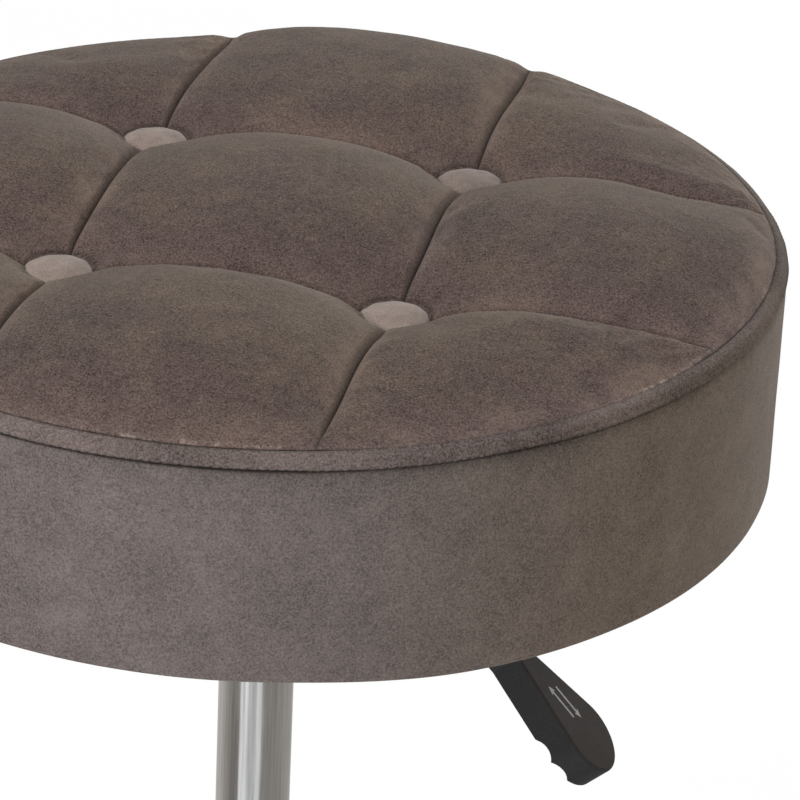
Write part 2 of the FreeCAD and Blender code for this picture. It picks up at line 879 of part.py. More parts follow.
def eye(width, centre=0.0):
    """Round eye about the pivot, along Y."""
    return Part.makeCylinder(eye_radius, width, Vector(0, centre - width / 2, 0), Y_AXIS)


def pivot_bore(width=80.0):
    """Bore of a piece that is fixed on the pivot shaft."""
    return Part.makeCylinder(pivot_radius + running_gap, width, Vector(0, -width / 2, 0), Y_AXIS)


def make_pivot_shaft():
    """Cross shaft that turns in the bracket's cheeks."""
    reach = bracket_inside / 2 + bracket_wall + pivot_overhang
    return Part.makeCylinder(pivot_radius, 2 * reach, Vector(pivot_x, -reach, pivot_height), Y_AXIS)


def make_pivot_clips():
    """Clips on both ends of the shaft."""
    clips = []
    inside = bracket_inside / 2 + bracket_wall + soft_gap
    for start in (inside, -inside - pivot_clip_thickness):
        ring = Part.makeCylinder(pivot_clip_radius, pivot_clip_thickness,
                                 Vector(pivot_x, start, pivot_height), Y_AXIS)
        bore = Part.makeCylinder(pivot_radius + running_gap, pivot_clip_thickness + 2,
                                 Vector(pivot_x, start - 1, pivot_height), Y_AXIS)
        clips.append(ring.cut(bore))
    return Part.makeCompound(clips)


def make_valve_finger():
    """Crank on the shaft whose pad presses the valve pin."""
    rise = finger_bottom - pivot_height
    left = -pivot_x - finger_pad / 2
    right = -pivot_x + taper_radius(spring_top) + finger_relief
    outline = [(left, rise), (right, rise), (-eye_radius + 1, 3), (eye_radius - 1, 3),
               (-2, rise + finger_thickness), (left, rise + finger_thickness)]
    finger = prism(outline, finger_width).fuse(eye(finger_width)).removeSplitter()
    finger = finger.cut(pivot_bore())
    finger.translate(Vector(pivot_x, 0, pivot_height))
    return finger


def arm_bar(extra=0.0):
    """The lever's straight flat bar."""
    depth = arm_depth + 2 * extra
    thickness = arm_thickness + 2 * extra
    return Part.makeBox(arm_reach + extra, thickness, depth, Vector(0, -thickness / 2, -depth / 2))


def make_lever_arm():
    """Flat steel arm with an eye on the shaft."""
    arm = arm_bar().fuse(eye(arm_thickness)).removeSplitter()
    return place_lever(arm.cut(pivot_bore()))


def handle_outline():
    """Face of the handle: a straight neck whose sides spread to a round palm."""
    centre = handle_end - palm_radius
    run = centre - flare_start
    reach = math.hypot(run, neck_half_width)
    spread = math.asin(palm_radius / reach) - math.asin(neck_half_width / reach)
    touch = (centre - palm_radius * math.sin(spread), palm_radius * math.cos(spread))
    edges = []
    for side in (1, -1):
        shoulder = Vector(flare_start, side * neck_half_width, 0)
        edges.append(Part.makeLine(Vector(handle_start, side * neck_half_width, 0), shoulder))
        edges.append(Part.makeLine(shoulder, Vector(touch[0], side * touch[1], 0)))
    edges.append(Part.Arc(Vector(touch[0], touch[1], 0), Vector(handle_end, 0, 0),
                          Vector(touch[0], -touch[1], 0)).toShape())
    edges.append(Part.makeLine(Vector(handle_start, -neck_half_width, 0),
                               Vector(handle_start, neck_half_width, 0)))
    return Part.Face(Part.Wire(Part.__sortEdges__(edges)))


def make_lever_handle():
    """Moulded paddle with rounded edges and finger grooves across its underside."""
    face = handle_outline()
    face.translate(Vector(0, 0, -handle_thickness / 2))
    handle = face.extrude(Vector(0, 0, handle_thickness))
    flat = [edge for edge in handle.Edges
            if abs(abs(edge.CenterOfMass.z) - handle_thickness / 2) < 0.01
            and edge.CenterOfMass.x > handle_start + 1]
    handle = handle.makeFillet(handle_edge, flat)
    underside = -handle_thickness / 2
    for index in range(groove_count):
        x = handle_end - groove_end_margin - index * groove_pitch
        roll = Part.makeCylinder(groove_radius, 80, Vector(x, -40, underside - groove_radius + groove_depth),
                                 Y_AXIS)
        handle = handle.cut(roll)
    handle = handle.cut(arm_bar(running_gap)).cut(handle_screw(running_gap))
    return place_lever(handle)


def handle_screw(extra=0.0):
    """Screw through the handle's underside into the arm."""
    x = arm_reach - 14
    low = -handle_thickness / 2
    head = Part.makeCylinder(handle_screw_head + extra, 2.0, Vector(x, 0, low))
    shank_top = -arm_depth / 2
    shank = Part.makeCylinder(handle_screw_radius + extra, shank_top - low - 2.0 + extra, Vector(x, 0, low + 2.0))
    return head.fuse(shank)


def make_handle_screw():
    """The screw that holds the handle on the arm."""
    return place_lever(handle_screw().removeSplitter())


PIECES = {
    "floor_pads": make_floor_pads,
    "base_weight": make_base_weight,
    "base_cover": make_base_cover,
    "base_hub": make_base_hub,
    "hub_bolts": make_hub_bolts,
    "column_skirt": make_column_skirt,
    "outer_tube": make_outer_tube,
    "tube_end_plate": make_tube_end_plate,
    "guide_bush": make_guide_bush,
    "lower_race": make_lower_race,
    "thrust_cage": make_thrust_cage,
    "thrust_balls": make_thrust_balls,
    "upper_race": make_upper_race,
    "bump_stop": make_bump_stop,
    "piston_rod": make_piston_rod,
    "rod_clip": make_rod_clip,
    "piston": make_piston,
    "piston_ring": make_piston_ring,
    "pressure_tube": make_pressure_tube,
    "rod_guide": make_rod_guide,
    "rod_seal": make_rod_seal,
    "inner_cylinder": make_inner_cylinder,
    "valve_body": make_valve_body,
    "valve_pin": make_valve_pin,
    "seat_plate": make_seat_plate,
    "lever_bracket": make_lever_bracket,
    "taper_socket": make_taper_socket,
    "plate_bolts": make_plate_bolts,
    "plate_washers": make_plate_washers,
    "tee_nuts": make_tee_nuts,
    "seat_board": make_seat_board,
    "foam_pad": make_foam_pad,
    "side_cover": make_side_cover,
    "border_band": make_border_band,
    "top_cover": make_top_cover,
    "dust_cover": make_dust_cover,
    "cover_staples": make_cover_staples,
    "tuft_buttons": make_tuft_buttons,
    "tuft_cords": make_tuft_cords,
    "cord_anchors": make_cord_anchors,
    "pivot_shaft": make_pivot_shaft,
    "pivot_clips": make_pivot_clips,
    "valve_finger": make_valve_finger,
    "lever_arm": make_lever_arm,
    "lever_handle": make_lever_handle,
    "handle_screw": make_handle_screw,
}

os.makedirs("parts", exist_ok=True)
for name, make in PIECES.items():
    piece = make()
    piece.exportStep(f"parts/{name}.step")
    box = piece.BoundBox
    print(f"{name:16s} solids {len(piece.Solids):3d} valid {piece.isValid()} "
          f"z {box.ZMin:8.2f} {box.ZMax:8.2f} x {box.XMin:8.2f} {box.XMax:8.2f}")
print(f"seat underside {seat_bottom:.1f}, lower seam {seam_height:.1f}, spring foot {spring_bottom:.1f}, "
      f"bracket foot {bracket_bottom - socket_below_web:.1f}, bush top {tube_top + bush_lip:.1f}, "
      f"pivot {pivot_height:.1f}")
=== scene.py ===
"""Dresses the swivel stool: velvet cushion, brushed column, release lever, round base and pale studio."""
import math

import bmesh
import bpy
from bpy.props import FloatProperty, FloatVectorProperty, IntProperty, PointerProperty
from mathutils import Matrix, Vector, noise


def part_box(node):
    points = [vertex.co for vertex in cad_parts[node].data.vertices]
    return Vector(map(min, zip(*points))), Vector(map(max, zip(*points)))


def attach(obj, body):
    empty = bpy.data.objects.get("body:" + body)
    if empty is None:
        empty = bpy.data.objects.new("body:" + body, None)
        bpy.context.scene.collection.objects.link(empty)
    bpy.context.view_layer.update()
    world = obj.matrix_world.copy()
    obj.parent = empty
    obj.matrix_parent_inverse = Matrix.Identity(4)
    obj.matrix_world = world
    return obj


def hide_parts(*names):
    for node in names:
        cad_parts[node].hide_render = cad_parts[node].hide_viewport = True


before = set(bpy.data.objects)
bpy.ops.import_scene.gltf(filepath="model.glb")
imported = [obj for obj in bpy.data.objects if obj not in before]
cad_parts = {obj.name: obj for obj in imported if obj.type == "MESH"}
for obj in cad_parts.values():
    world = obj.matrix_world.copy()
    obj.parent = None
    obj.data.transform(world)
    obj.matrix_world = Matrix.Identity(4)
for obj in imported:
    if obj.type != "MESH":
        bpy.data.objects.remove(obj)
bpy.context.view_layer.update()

bl_info = {
    "name": "Vanity stool",
    "version": (1, 0, 0),
    "blender": (4, 5, 0),
    "location": "3D View > Sidebar > Stool",
    "description": "Builds the soft parts, finishes and studio of a tufted swivel stool",
    "category": "Add Mesh",
}

MM = 0.001
SIDE_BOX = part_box("side_cover")
BAND_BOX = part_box("border_band")
BUTTON_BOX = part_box("tuft_buttons")
DUST_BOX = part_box("dust_cover")
HANDLE_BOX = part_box("lever_handle")
SHAFT_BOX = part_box("pivot_shaft")
SHAFT_RADIUS = (SHAFT_BOX[1][2] - SHAFT_BOX[0][2]) / 2
# Width and height of the photo in pixels
PHOTO_SIDE = 800
# How far from its crease an outer panel is full, and how far from the rim the top is
PANEL_REACH = 56 * MM
RIM_REACH = 70 * MM
# How far round it a button draws the cloth down
BUTTON_REACH = 25 * MM
# Depth and half width of the groove along a crease
GROOVE_DEPTH = 1.6 * MM
GROOVE_WIDTH = 1.1 * MM
# Sectors of the seat in degrees: where a sinking starts, is full, is full until, and ends
REAR_LEFT = (98, 113, 185, 245)
REAR_RIGHT = (0, 20, 58, 75)
HEM_RIGHT = (-74, -52, 15, 50)
# Faces along the grid that the cloth simulation runs on, and its frames
SETTLING_CELLS = 66
SETTLING_FRAMES = 16
# Drop and tuck in millimetres of each ring that turns the top's cut edge down behind the band
TURNED_EDGE = ((0.5, -0.5), (0.6, 0.5), (1.5, 1.6), (5.0, 1.0))
# Stitches round the band, and puckers round the side
BAND_STITCHES = 384
SIDE_PUCKERS = 140
# Steps round the band, the side, a button and the dust cloth
BAND_STEPS = 1728
SIDE_STEPS = 480
BUTTON_STEPS = 72
DUST_STEPS = 160
# Name, place, size in metres and power in watts of each lamp
LAMPS = (("key", (-1.5, -1.3, 2.3), (1.6, 1.2), 42), ("fill", (1.2, -2.6, 1.2), (1.6, 1.6), 11),
         ("back", (0.6, 2.2, 2.2), (1.8, 1.0), 20))
# Share of a turn and brightness of the light and dark cards round the stool that metal mirrors
CARDS = ((0.17, 0.62), (0.25, 0.4), (0.3, 0.27), (0.37, 0.3), (0.385, 1.3), (0.41, 0.85), (0.43, 1.35),
         (0.455, 0.8), (0.51, 0.75), (0.53, 1.2), (0.555, 1.05), (0.57, 0.4), (0.62, 0.33), (0.8, 0.4),
         (0.93, 0.46))
# The card behind the camera, on both ends of the ramp
END_CARD = (0.55, 0.55, 0.54, 1)


def length(name, default, description):
    """A length property in metres."""
    return FloatProperty(name=name, default=default, description=description, unit="LENGTH")


def number(name, default, description):
    """A plain number property."""
    return FloatProperty(name=name, default=default, description=description, min=0)


def degrees(name, default, description):
    """An angle property whose default is given in degrees."""
    return FloatProperty(name=name, default=math.radians(default), description=description, subtype="ANGLE")


def colour(name, default, description):
    """A colour property."""
    return FloatVectorProperty(name=name, default=default, description=description,
                               subtype="COLOR", size=3, min=0, max=1)


class StoolCushionSettings(bpy.types.PropertyGroup):
    """Sizes of the cushion."""
    radius: length("Seat radius", SIDE_BOX[1][0], "Radius of the lower seam")
    seam: length("Lower seam", BAND_BOX[1][2] - 5 * MM, "Height of the lower seam above the floor")
    band_rise: length("Band rise", 5.2 * MM, "Height of the band between its seams")
    band_inset: length("Band inset", 5.2 * MM, "How far the upper seam lies inside the lower one")
    underside: length("Underside", SIDE_BOX[0][2], "Height of the turned hem above the floor")
    tuft_half: length("Tuft half pitch", 59.15 * MM, "Half the distance between neighbouring buttons")
    centre_crest: length("Centre crest", 20.2 * MM, "Rise of the middle panel above the lower seam")
    edge_crest: length("Edge crest", 19.0 * MM, "Rise of an outer panel above the lower seam")
    crease: length("Crease height", 9.0 * MM, "Height of a crease half way between two buttons")
    button_pit: length("Button pit", 0.5 * MM, "Height of the cloth under a button")
    button_radius: length("Button radius", 12.2 * MM, "Radius of a covered button")
    button_rim: length("Button rim", 2.4 * MM, "Height of a button's edge above its underside")
    button_crown: length("Button crown", 2.4 * MM, "Rise of a button's dome")
    droop: length("Rear left droop", 2.8 * MM, "How much lower the rear left of the seat has settled")
    droop_right: length("Rear right droop", 1.9 * MM, "How much lower the rear right of the seat has settled")
    notch: length("Rear notch", 1.7 * MM, "How far a crease draws the upper seam down at the rear")
    hem_drop: length("Hem drop", 2.0 * MM, "How much lower the hem hangs at the right")
    pressure: number("Foam pressure", 3.0, "How hard the foam lifts the cloth")
    spare: number("Spare cloth", 0.006, "Share of its length that the cloth has to spare for small folds")
    most: length("Largest lift", 2.5 * MM, "Most that the cloth may leave its cut form")
    cells: IntProperty(name="Faces per panel", default=80, min=12, max=160,
                       description="Faces along one panel of the top")


class StoolClothSettings(bpy.types.PropertyGroup):
    """Colours of the cloth."""
    # Plum and olive mix by random brushed patches, and by a painted sheen that turns the pile olive where the
    # cloth faces the rear and plum where it faces the front
    plum: colour("Pile against the eye", (0.094, 0.066, 0.059), "Velvet brushed against the eye")
    olive: colour("Pile along the eye", (0.106, 0.077, 0.058), "Velvet brushed along the eye")
    side: colour("Side pile", (0.178, 0.149, 0.14), "Velvet of the upright side")
    # Painted shade: the side's pile darker and browner where it faces right, away from the key light
    side_painted_shade: colour("Side pile on the right", (0.158, 0.12, 0.092),
                       "The same velvet where it turns from the key light")
    # Partly worn pile and partly painted highlight, where the cloth bends over a fold
    worn: colour("Worn fold", (0.3, 0.245, 0.215), "Rubbed pile on a fold")
    button: colour("Button cloth", (0.272, 0.212, 0.181), "Plain cloth of the buttons")
    dust: colour("Dust cloth", (0.018, 0.018, 0.019), "Thin cloth under the seat")


class StoolMetalSettings(bpy.types.PropertyGroup):
    """Colours of the hard parts."""
    steel: colour("Brushed steel", (0.56, 0.545, 0.52), "Gas spring tube and base cover")
    paint: colour("Black paint", (0.02, 0.02, 0.021), "Plate and bracket under the seat")
    zinc: colour("Zinc", (0.5, 0.51, 0.53), "Screws, clips and washers")
    plastic: colour("Handle plastic", (0.018, 0.017, 0.0175), "Moulded release handle")
    # Painted reflection: the upper face tinted warm as if mirroring the seat's underside
    handle_painted_reflection: colour("Handle face", (0.027, 0.019, 0.0145), "Upper face of the handle")
    mark: colour("Mark", (0.5, 0.49, 0.47), "Printed arrows on the handle")


class StoolHandleSettings(bpy.types.PropertyGroup):
    """Place of the handle and of the mark on it."""
    slope: degrees("Slope", 48, "Slope of the lever")
    middle: length("Middle", (HANDLE_BOX[0][1] + HANDLE_BOX[1][1]) / 2, "Sideways place of the lever")
    thickness: length("Thickness", 13 * MM, "Thickness of the handle")
    mark_reach: length("Mark reach", 118 * MM, "From the pivot to the middle of the mark")
    mark_length: length("Mark length", 20 * MM, "Length of the two arrows")
    mark_apart: length("Mark spacing", 2.2 * MM, "Half the distance between the two arrows")
    mark_line: length("Mark line", 1.1 * MM, "Width of an arrow's shaft")
    mark_head: length("Mark head", 2.1 * MM, "Radius of an arrow's head")
    mark_ink: length("Mark ink", 0.06 * MM, "Thickness of the print")


class StoolStageSettings(bpy.types.PropertyGroup):
    """Camera and light."""
    lens: number("Lens", 181.7, "Focal length in millimetres")
    distance: length("Distance", 1423.25 * MM, "From the camera to the plane of the seat's middle")
    azimuth: degrees("Azimuth", 12.0, "Turn of the camera about the column")
    pitch: degrees("Pitch", 26.77, "How far the camera looks down")
    roll: degrees("Roll", 2.74, "Turn of the camera about its own view")
    seat_x: number("Seat x", 270.13, "Photo column of the seat's middle in pixels")
    seat_y: number("Seat y", 228.04, "Photo row of the seat's middle in pixels")


# Node helpers


class Shader:
    """Short hand for one material and its node tree."""

    def __init__(self, name):
        self.material = bpy.data.materials.new(name)
        self.material.use_nodes = True
        self.tree = self.material.node_tree
        self.tree.nodes.clear()
        self.output = self.tree.nodes.new("ShaderNodeOutputMaterial")
        place = self.tree.nodes.new("ShaderNodeTexCoord")
        self.coords = place.outputs["Object"]
        self.facing = self.add("SeparateXYZ", {"Vector": place.outputs["Normal"]}).outputs

    def set(self, socket, value):
        """Links a socket to a socket, or gives it a plain value."""
        if isinstance(value, bpy.types.NodeSocket):
            self.tree.links.new(value, socket)
        elif value is not None:
            if socket.type == "RGBA" and len(value) == 3:
                value = (*value, 1.0)
            socket.default_value = value

    def add(self, kind, inputs=None, **options):
        """A new node with its options and inputs set."""
        node = self.tree.nodes.new("ShaderNode" + kind)
        for key, value in options.items():
            setattr(node, key, value)
        for key, value in (inputs or {}).items():
            self.set(node.inputs[key], value)
        return node

    def noise(self, scale, detail=2.0, roughness=0.5, vector=None, distortion=0.0):
        """Noise value at a scale in features per metre."""
        return self.add("TexNoise", {"Vector": vector or self.coords, "Scale": scale, "Detail": detail,
                                     "Roughness": roughness, "Distortion": distortion}).outputs["Fac"]

    def stretch(self, factors):
        """Object coordinates stretched along the axes."""
        return self.add("Mapping", {"Vector": self.coords, "Scale": factors}).outputs["Vector"]

    def math(self, operation, a, b=None, clamp=False):
        """One arithmetic step."""
        node = self.add("Math", operation=operation, use_clamp=clamp)
        self.set(node.inputs[0], a)
        if b is not None:
            self.set(node.inputs[1], b)
        return node.outputs[0]

    def total(self, *parts):
        """The sum of values."""
        whole = parts[0]
        for part in parts[1:]:
            whole = self.math("ADD", whole, part)
        return whole

    def ramp(self, value, low=0.3, high=0.7, out_low=0.0, out_high=1.0):
        """A value carried from one range, by default that of most noise, to another and held inside it."""
        node = self.add("MapRange", {"Value": value, "From Min": low, "From Max": high,
                                     "To Min": out_low, "To Max": out_high}, clamp=True)
        return node.outputs["Result"]

    def swing(self, value, reach):
        """A noise value carried to a swing of equal reach up and down."""
        return self.ramp(value, out_low=-reach, out_high=reach)

    def mix(self, factor, a, b, blend="MIX"):
        """Two colours mixed by a factor."""
        node = self.add("Mix", data_type="RGBA", blend_type=blend)
        self.set(node.inputs[0], factor)
        self.set(node.inputs[6], a)
        self.set(node.inputs[7], b)
        return node.outputs[2]

    def bump(self, height, depth, strength, normal=None):
        """A bump of real depth in millimetres."""
        inputs = {"Height": height, "Distance": depth * MM, "Strength": strength}
        if normal is not None:
            inputs["Normal"] = normal
        return self.add("Bump", inputs).outputs["Normal"]

    def attribute(self, name):
        """A value stored on the mesh."""
        return self.add("Attribute", attribute_name=name).outputs["Fac"]

    def finish(self, **inputs):
        """The principled surface, joined to the output."""
        surface = self.add("BsdfPrincipled")
        for key, value in inputs.items():
            self.set(surface.inputs[key.replace("_", " ").title().replace("Ior", "IOR")], value)
        self.tree.links.new(surface.outputs["BSDF"], self.output.inputs["Surface"])
        return self.material


def tinted(tint, factor):
    """A colour made darker or lighter."""
    return [min(1.0, part * factor) for part in tint]


def velvet(name, lie, patchy=0.0):
    """Short pile velvet: brushed blotches, mottled fibres, worn pile with a painted highlight on folds,
    dark seam lines with painted shade, painted sheen beside creases and along the rim, painted sheen and
    shade by facing, and stray lint.

    lie is how much of the upright side's greyer pile shows whatever way the cloth faces, and which of the
    painted shading by facing applies; patchy is how much whole stretches of it are brushed one way or the
    other, and how much painted shade darkens it where it turns from the key light.
    """
    settings = bpy.context.scene.stool_cloth
    shade = Shader(name)
    right, away, up = (shade.facing[axis] for axis in "XYZ")
    brushed = shade.noise(14, 3.0, 0.5, distortion=0.5)
    patch = shade.noise(60, 3.0, 0.5, distortion=0.6)
    mottle = shade.noise(330, 3.0, 0.6)
    fibre = shade.noise(1400, 2.0, 0.8)
    lean = shade.total(shade.swing(patch, 0.3), shade.swing(brushed, 0.35))
    # Painted sheen by facing: olive towards the rear, plum towards the front, on top of the brushed patches
    hue = shade.math("ADD", lean, shade.ramp(away, -0.3, 0.25), clamp=True)
    # Painted shade by facing: cloth turned to the right, away from the key light, takes the darker side
    # colour
    turned = shade.ramp(shade.total(right, shade.math("MULTIPLY", away, 0.2)), 0.2, 0.75)
    grey = shade.mix(turned, settings.side, settings.side_painted_shade)
    pile = shade.mix(lie, shade.mix(hue, settings.plum, settings.olive), grey)
    # Folds: worn pile with a painted highlight, broken up by noise
    wear_and_highlight_mask = shade.math("MULTIPLY", shade.ramp(shade.noise(300, 4.0, 0.7), 0.45, 0.62),
                        shade.ramp(brushed, 0.4, 0.6))
    fold = shade.math("MULTIPLY", shade.attribute("fold"), wear_and_highlight_mask)
    pile = shade.mix(shade.math("MULTIPLY", fold, 0.55), pile, settings.worn)
    # Painted sheen beside the creases and along the rim, broken up by the patches
    painted_sheen = shade.math("MULTIPLY", shade.attribute("painted_sheen"), shade.ramp(patch, 0.35, 0.6, 0.25, 1.0))
    # Painted highlight and painted shade by facing: slopes, cloth facing the front and cloth facing right
    # lighter, cloth facing left darker
    lifts = ((up, 0.98, 0.8, 0.2), (away, -0.08, -0.35, 0.13), (right, 0.28, 0.6, 0.3),
             (right, -0.05, -0.25, -0.12))
    flecks = 0.2 - 0.08 * lie
    depth = 0.85 - 0.4 * lie
    tone = shade.total(
        shade.swing(brushed, 0.09),
        shade.swing(patch, 0.1),
        shade.ramp(mottle, 0.25, 0.75, -flecks, flecks),
        *[shade.ramp(facing, low, high, 0.0, lift * (1 - lie)) for facing, low, high, lift in lifts],
        # Painted shade on the upright side where it faces left
        shade.ramp(right, -0.2, -0.7, 0.0, -0.09 * lie),
        shade.ramp(shade.noise(40, 1.0), 0.62, 0.74, 0.0, 0.14 * lie),
        shade.ramp(shade.noise(11, 1.0), 0.44, 0.56, -patchy, patchy),
        # Painted shade on the band where it turns from the key light
        shade.math("MULTIPLY", turned, -2.0 * patchy),
        shade.ramp(fibre, 0.3, 0.7, 1 - depth, 1 + depth),
        shade.math("MULTIPLY", painted_sheen, 0.32))
    # Darkened by the seam lines and by painted shade in the creases, round the buttons and at the band
    seam = shade.ramp(shade.attribute("seam"), 0.0, 1.0, 1.0, 0.22)
    pile = shade.mix(1.0, pile, shade.math("MULTIPLY", tone, seam), "MULTIPLY")
    lint = shade.add("TexVoronoi", {"Vector": shade.coords, "Scale": 95.0}).outputs
    speck = shade.ramp(lint["Distance"], 0.06, 0.03)
    rare = shade.ramp(shade.add("SeparateColor", {"Color": lint["Color"]}).outputs["Red"], 0.93, 0.94)
    pile = shade.mix(shade.math("MULTIPLY", speck, rare), pile, (0.5, 0.46, 0.42))
    soft = shade.bump(patch, 0.9, 0.4)
    grain = shade.bump(mottle, 0.35, 0.5, soft)
    grain = shade.bump(fibre, 0.28, 0.9, grain)
    return shade.finish(base_color=pile, roughness=0.95, normal=grain, sheen_weight=0.25,
                        sheen_roughness=0.4, sheen_tint=(0.95, 0.88, 0.82), specular_ior_level=0.1)


def button_cloth():
    """Flat woven cloth of the buttons, darker towards the rear right."""
    settings = bpy.context.scene.stool_cloth
    shade = Shader("button_cloth")
    weave = shade.noise(1500, 2.0, 0.6)
    patch = shade.noise(160, 3.0, 0.6)
    place = shade.add("SeparateXYZ", {"Vector": shade.coords}).outputs
    rear_right = shade.ramp(shade.total(place["X"], place["Y"]), 0.0, 0.12, 0.0, -0.35)
    tone = shade.total(shade.ramp(weave, 0.3, 0.7, 0.2, 0.8), shade.swing(patch, 0.25), rear_right)
    cloth = shade.mix(tone, tinted(settings.button, 0.66), tinted(settings.button, 1.34))
    return shade.finish(base_color=cloth, roughness=0.95, normal=shade.bump(weave, 0.15, 0.6),
                        sheen_weight=0.25, sheen_roughness=0.5, specular_ior_level=0.15)


def dust_cloth():
    """Thin black non-woven cloth."""
    settings = bpy.context.scene.stool_cloth
    shade = Shader("dust_cloth")
    fibre = shade.noise(700, 4.0, 0.7, shade.stretch((1.0, 2.2, 1.0)))
    dots = shade.add("TexVoronoi", {"Vector": shade.coords, "Scale": 420.0}).outputs["Distance"]
    tone = shade.mix(shade.ramp(fibre), settings.dust, tinted(settings.dust, 2.6))
    return shade.finish(base_color=tone, roughness=0.9, normal=shade.bump(dots, 0.12, 0.5))


def steel(name, tint, streaks, roughness):
    """Brushed metal whose fine scratches follow the given stretch of the object coordinates."""
    shade = Shader(name)
    scratch = shade.noise(900, 3.0, 0.65, shade.stretch(streaks))
    cloud = shade.noise(22, 3.0, 0.5)
    line = shade.noise(420, 2.0, 0.9, shade.stretch(streaks))
    metal = shade.mix(shade.ramp(scratch), tinted(tint, 0.86), tinted(tint, 1.1))
    metal = shade.mix(1.0, metal, shade.ramp(line, 0.35, 0.65, 0.88, 1.08), "MULTIPLY")
    rough = shade.total(shade.ramp(scratch, 0.3, 0.7, roughness - 0.05, roughness + 0.06),
                        shade.swing(cloud, 0.03))
    return shade.finish(base_color=metal, metallic=1.0, roughness=rough, anisotropic=0.55,
                        normal=shade.bump(scratch, 0.02, 0.5))


def paint():
    """Satin powder coat with a fine orange peel."""
    shade = Shader("black_paint")
    peel = shade.noise(900, 2.0)
    thin = shade.ramp(shade.noise(60, 3.0))
    tone = shade.mix(thin, bpy.context.scene.stool_metal.paint, (0.035, 0.035, 0.035))
    return shade.finish(base_color=tone, roughness=shade.ramp(peel, 0.3, 0.7, 0.38, 0.5),
                        normal=shade.bump(peel, 0.04, 0.5))


def zinc():
    """Zinc plate with a cloudy grain."""
    tint = bpy.context.scene.stool_metal.zinc
    shade = Shader("zinc_plate")
    cloud = shade.noise(260, 3.0, 0.6)
    tone = shade.mix(shade.ramp(cloud), tinted(tint, 0.8), tint)
    return shade.finish(base_color=tone, metallic=1.0, roughness=shade.ramp(cloud, 0.3, 0.7, 0.28, 0.42),
                        normal=shade.bump(cloud, 0.02, 0.4))


def plastic(name, tint, grain_depth, roughness, face=None):
    """Moulded plastic with a spark-eroded grain; face is the tint of what faces up, a painted reflection of
    the seat's underside.
    """
    shade = Shader(name)
    grain = shade.noise(1300, 2.0, 0.6)
    wear = shade.noise(45, 3.0, 0.5)
    tone = shade.mix(shade.ramp(wear, 0.35, 0.7), tint, tinted(tint, 1.25))
    if face:
        # Painted reflection on the faces turned up
        tone = shade.mix(shade.ramp(shade.facing["Z"], 0.3, 0.6), tone, face)
    tone = shade.mix(1.0, tone, shade.ramp(grain, 0.3, 0.7, 0.6, 1.4), "MULTIPLY")
    rough = shade.ramp(wear, 0.3, 0.7, roughness - 0.05, roughness + 0.05)
    return shade.finish(base_color=tone, roughness=rough, normal=shade.bump(grain, grain_depth, 0.6))


def rubber():
    """Dull rubber with a dusty bloom."""
    shade = Shader("rubber")
    bloom = shade.noise(120, 4.0, 0.6)
    tone = shade.mix(shade.ramp(bloom, 0.35, 0.75), (0.012, 0.012, 0.012), (0.032, 0.031, 0.03))
    return shade.finish(base_color=tone, roughness=0.8, normal=shade.bump(bloom, 0.05, 0.4))


def cast_iron():
    """Sand-cast iron."""
    shade = Shader("cast_iron")
    sand = shade.noise(600, 5.0, 0.7)
    tone = shade.mix(shade.ramp(sand), (0.03, 0.03, 0.032), (0.09, 0.088, 0.086))
    return shade.finish(base_color=tone, metallic=0.6, roughness=0.7, normal=shade.bump(sand, 0.2, 0.7))


def plywood():
    """Sanded plywood with its veneer lines on the edge."""
    shade = Shader("plywood")
    grain = shade.noise(90, 5.0, 0.6, shade.stretch((0.25, 3.0, 1.0)))
    ply = shade.add("TexWave", {"Vector": shade.coords, "Scale": 330.0, "Distortion": 0.4},
                    bands_direction="Z").outputs["Fac"]
    tone = shade.mix(shade.ramp(grain), (0.42, 0.26, 0.13), (0.6, 0.42, 0.25))
    tone = shade.mix(shade.math("MULTIPLY", ply, 0.35), tone, (0.25, 0.14, 0.07))
    return shade.finish(base_color=tone, roughness=0.6, normal=shade.bump(grain, 0.05, 0.5))


def brass():
    """Turned brass with fine rings."""
    shade = Shader("brass")
    rings = shade.noise(500, 2.0, 0.5, shade.stretch((0.2, 0.2, 3.0)))
    tone = shade.mix(shade.ramp(rings), (0.5, 0.34, 0.13), (0.66, 0.47, 0.2))
    return shade.finish(base_color=tone, metallic=1.0, roughness=0.3,
                        normal=shade.bump(rings, 0.02, 0.5))


def twine():
    """Waxed twine."""
    shade = Shader("twine")
    lay = shade.noise(1200, 2.0, 0.6, shade.stretch((1.0, 1.0, 0.3)))
    tone = shade.mix(shade.ramp(lay), (0.4, 0.36, 0.28), (0.62, 0.58, 0.48))
    return shade.finish(base_color=tone, roughness=0.8, normal=shade.bump(lay, 0.1, 0.6))


# Mesh helpers


def link_object(name, data):
    """A new object in the scene."""
    thing = bpy.data.objects.new(name, data)
    bpy.context.scene.collection.objects.link(thing)
    return thing


def mesh_object(name, bm):
    """Uses a bmesh up as the mesh of a new object."""
    mesh = bpy.data.meshes.new(name)
    bm.to_mesh(mesh)
    bm.free()
    return link_object(name, mesh)


def publish(name, bm, body, material, smooth=True):
    """Makes a bmesh a piece that rides on a body and wears a material."""
    piece = mesh_object(name, bm)
    piece.data.polygons.foreach_set("use_smooth", [smooth] * len(piece.data.polygons))
    piece.data.materials.append(material)
    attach(piece, body)
    return piece


def spin_profile(bm, points, steps):
    """Turns a profile of (radius, height) points about Z and closes it."""
    verts = [bm.verts.new((radius, 0, height)) for radius, height in points]
    edges = [bm.edges.new(pair) for pair in zip(verts, verts[1:])]
    bmesh.ops.spin(bm, geom=verts + edges, cent=(0, 0, 0), axis=(0, 0, 1), angle=math.tau,
                   steps=steps, use_merge=True)
    bmesh.ops.remove_doubles(bm, verts=bm.verts, dist=1e-6)
    bmesh.ops.recalc_face_normals(bm, faces=bm.faces)


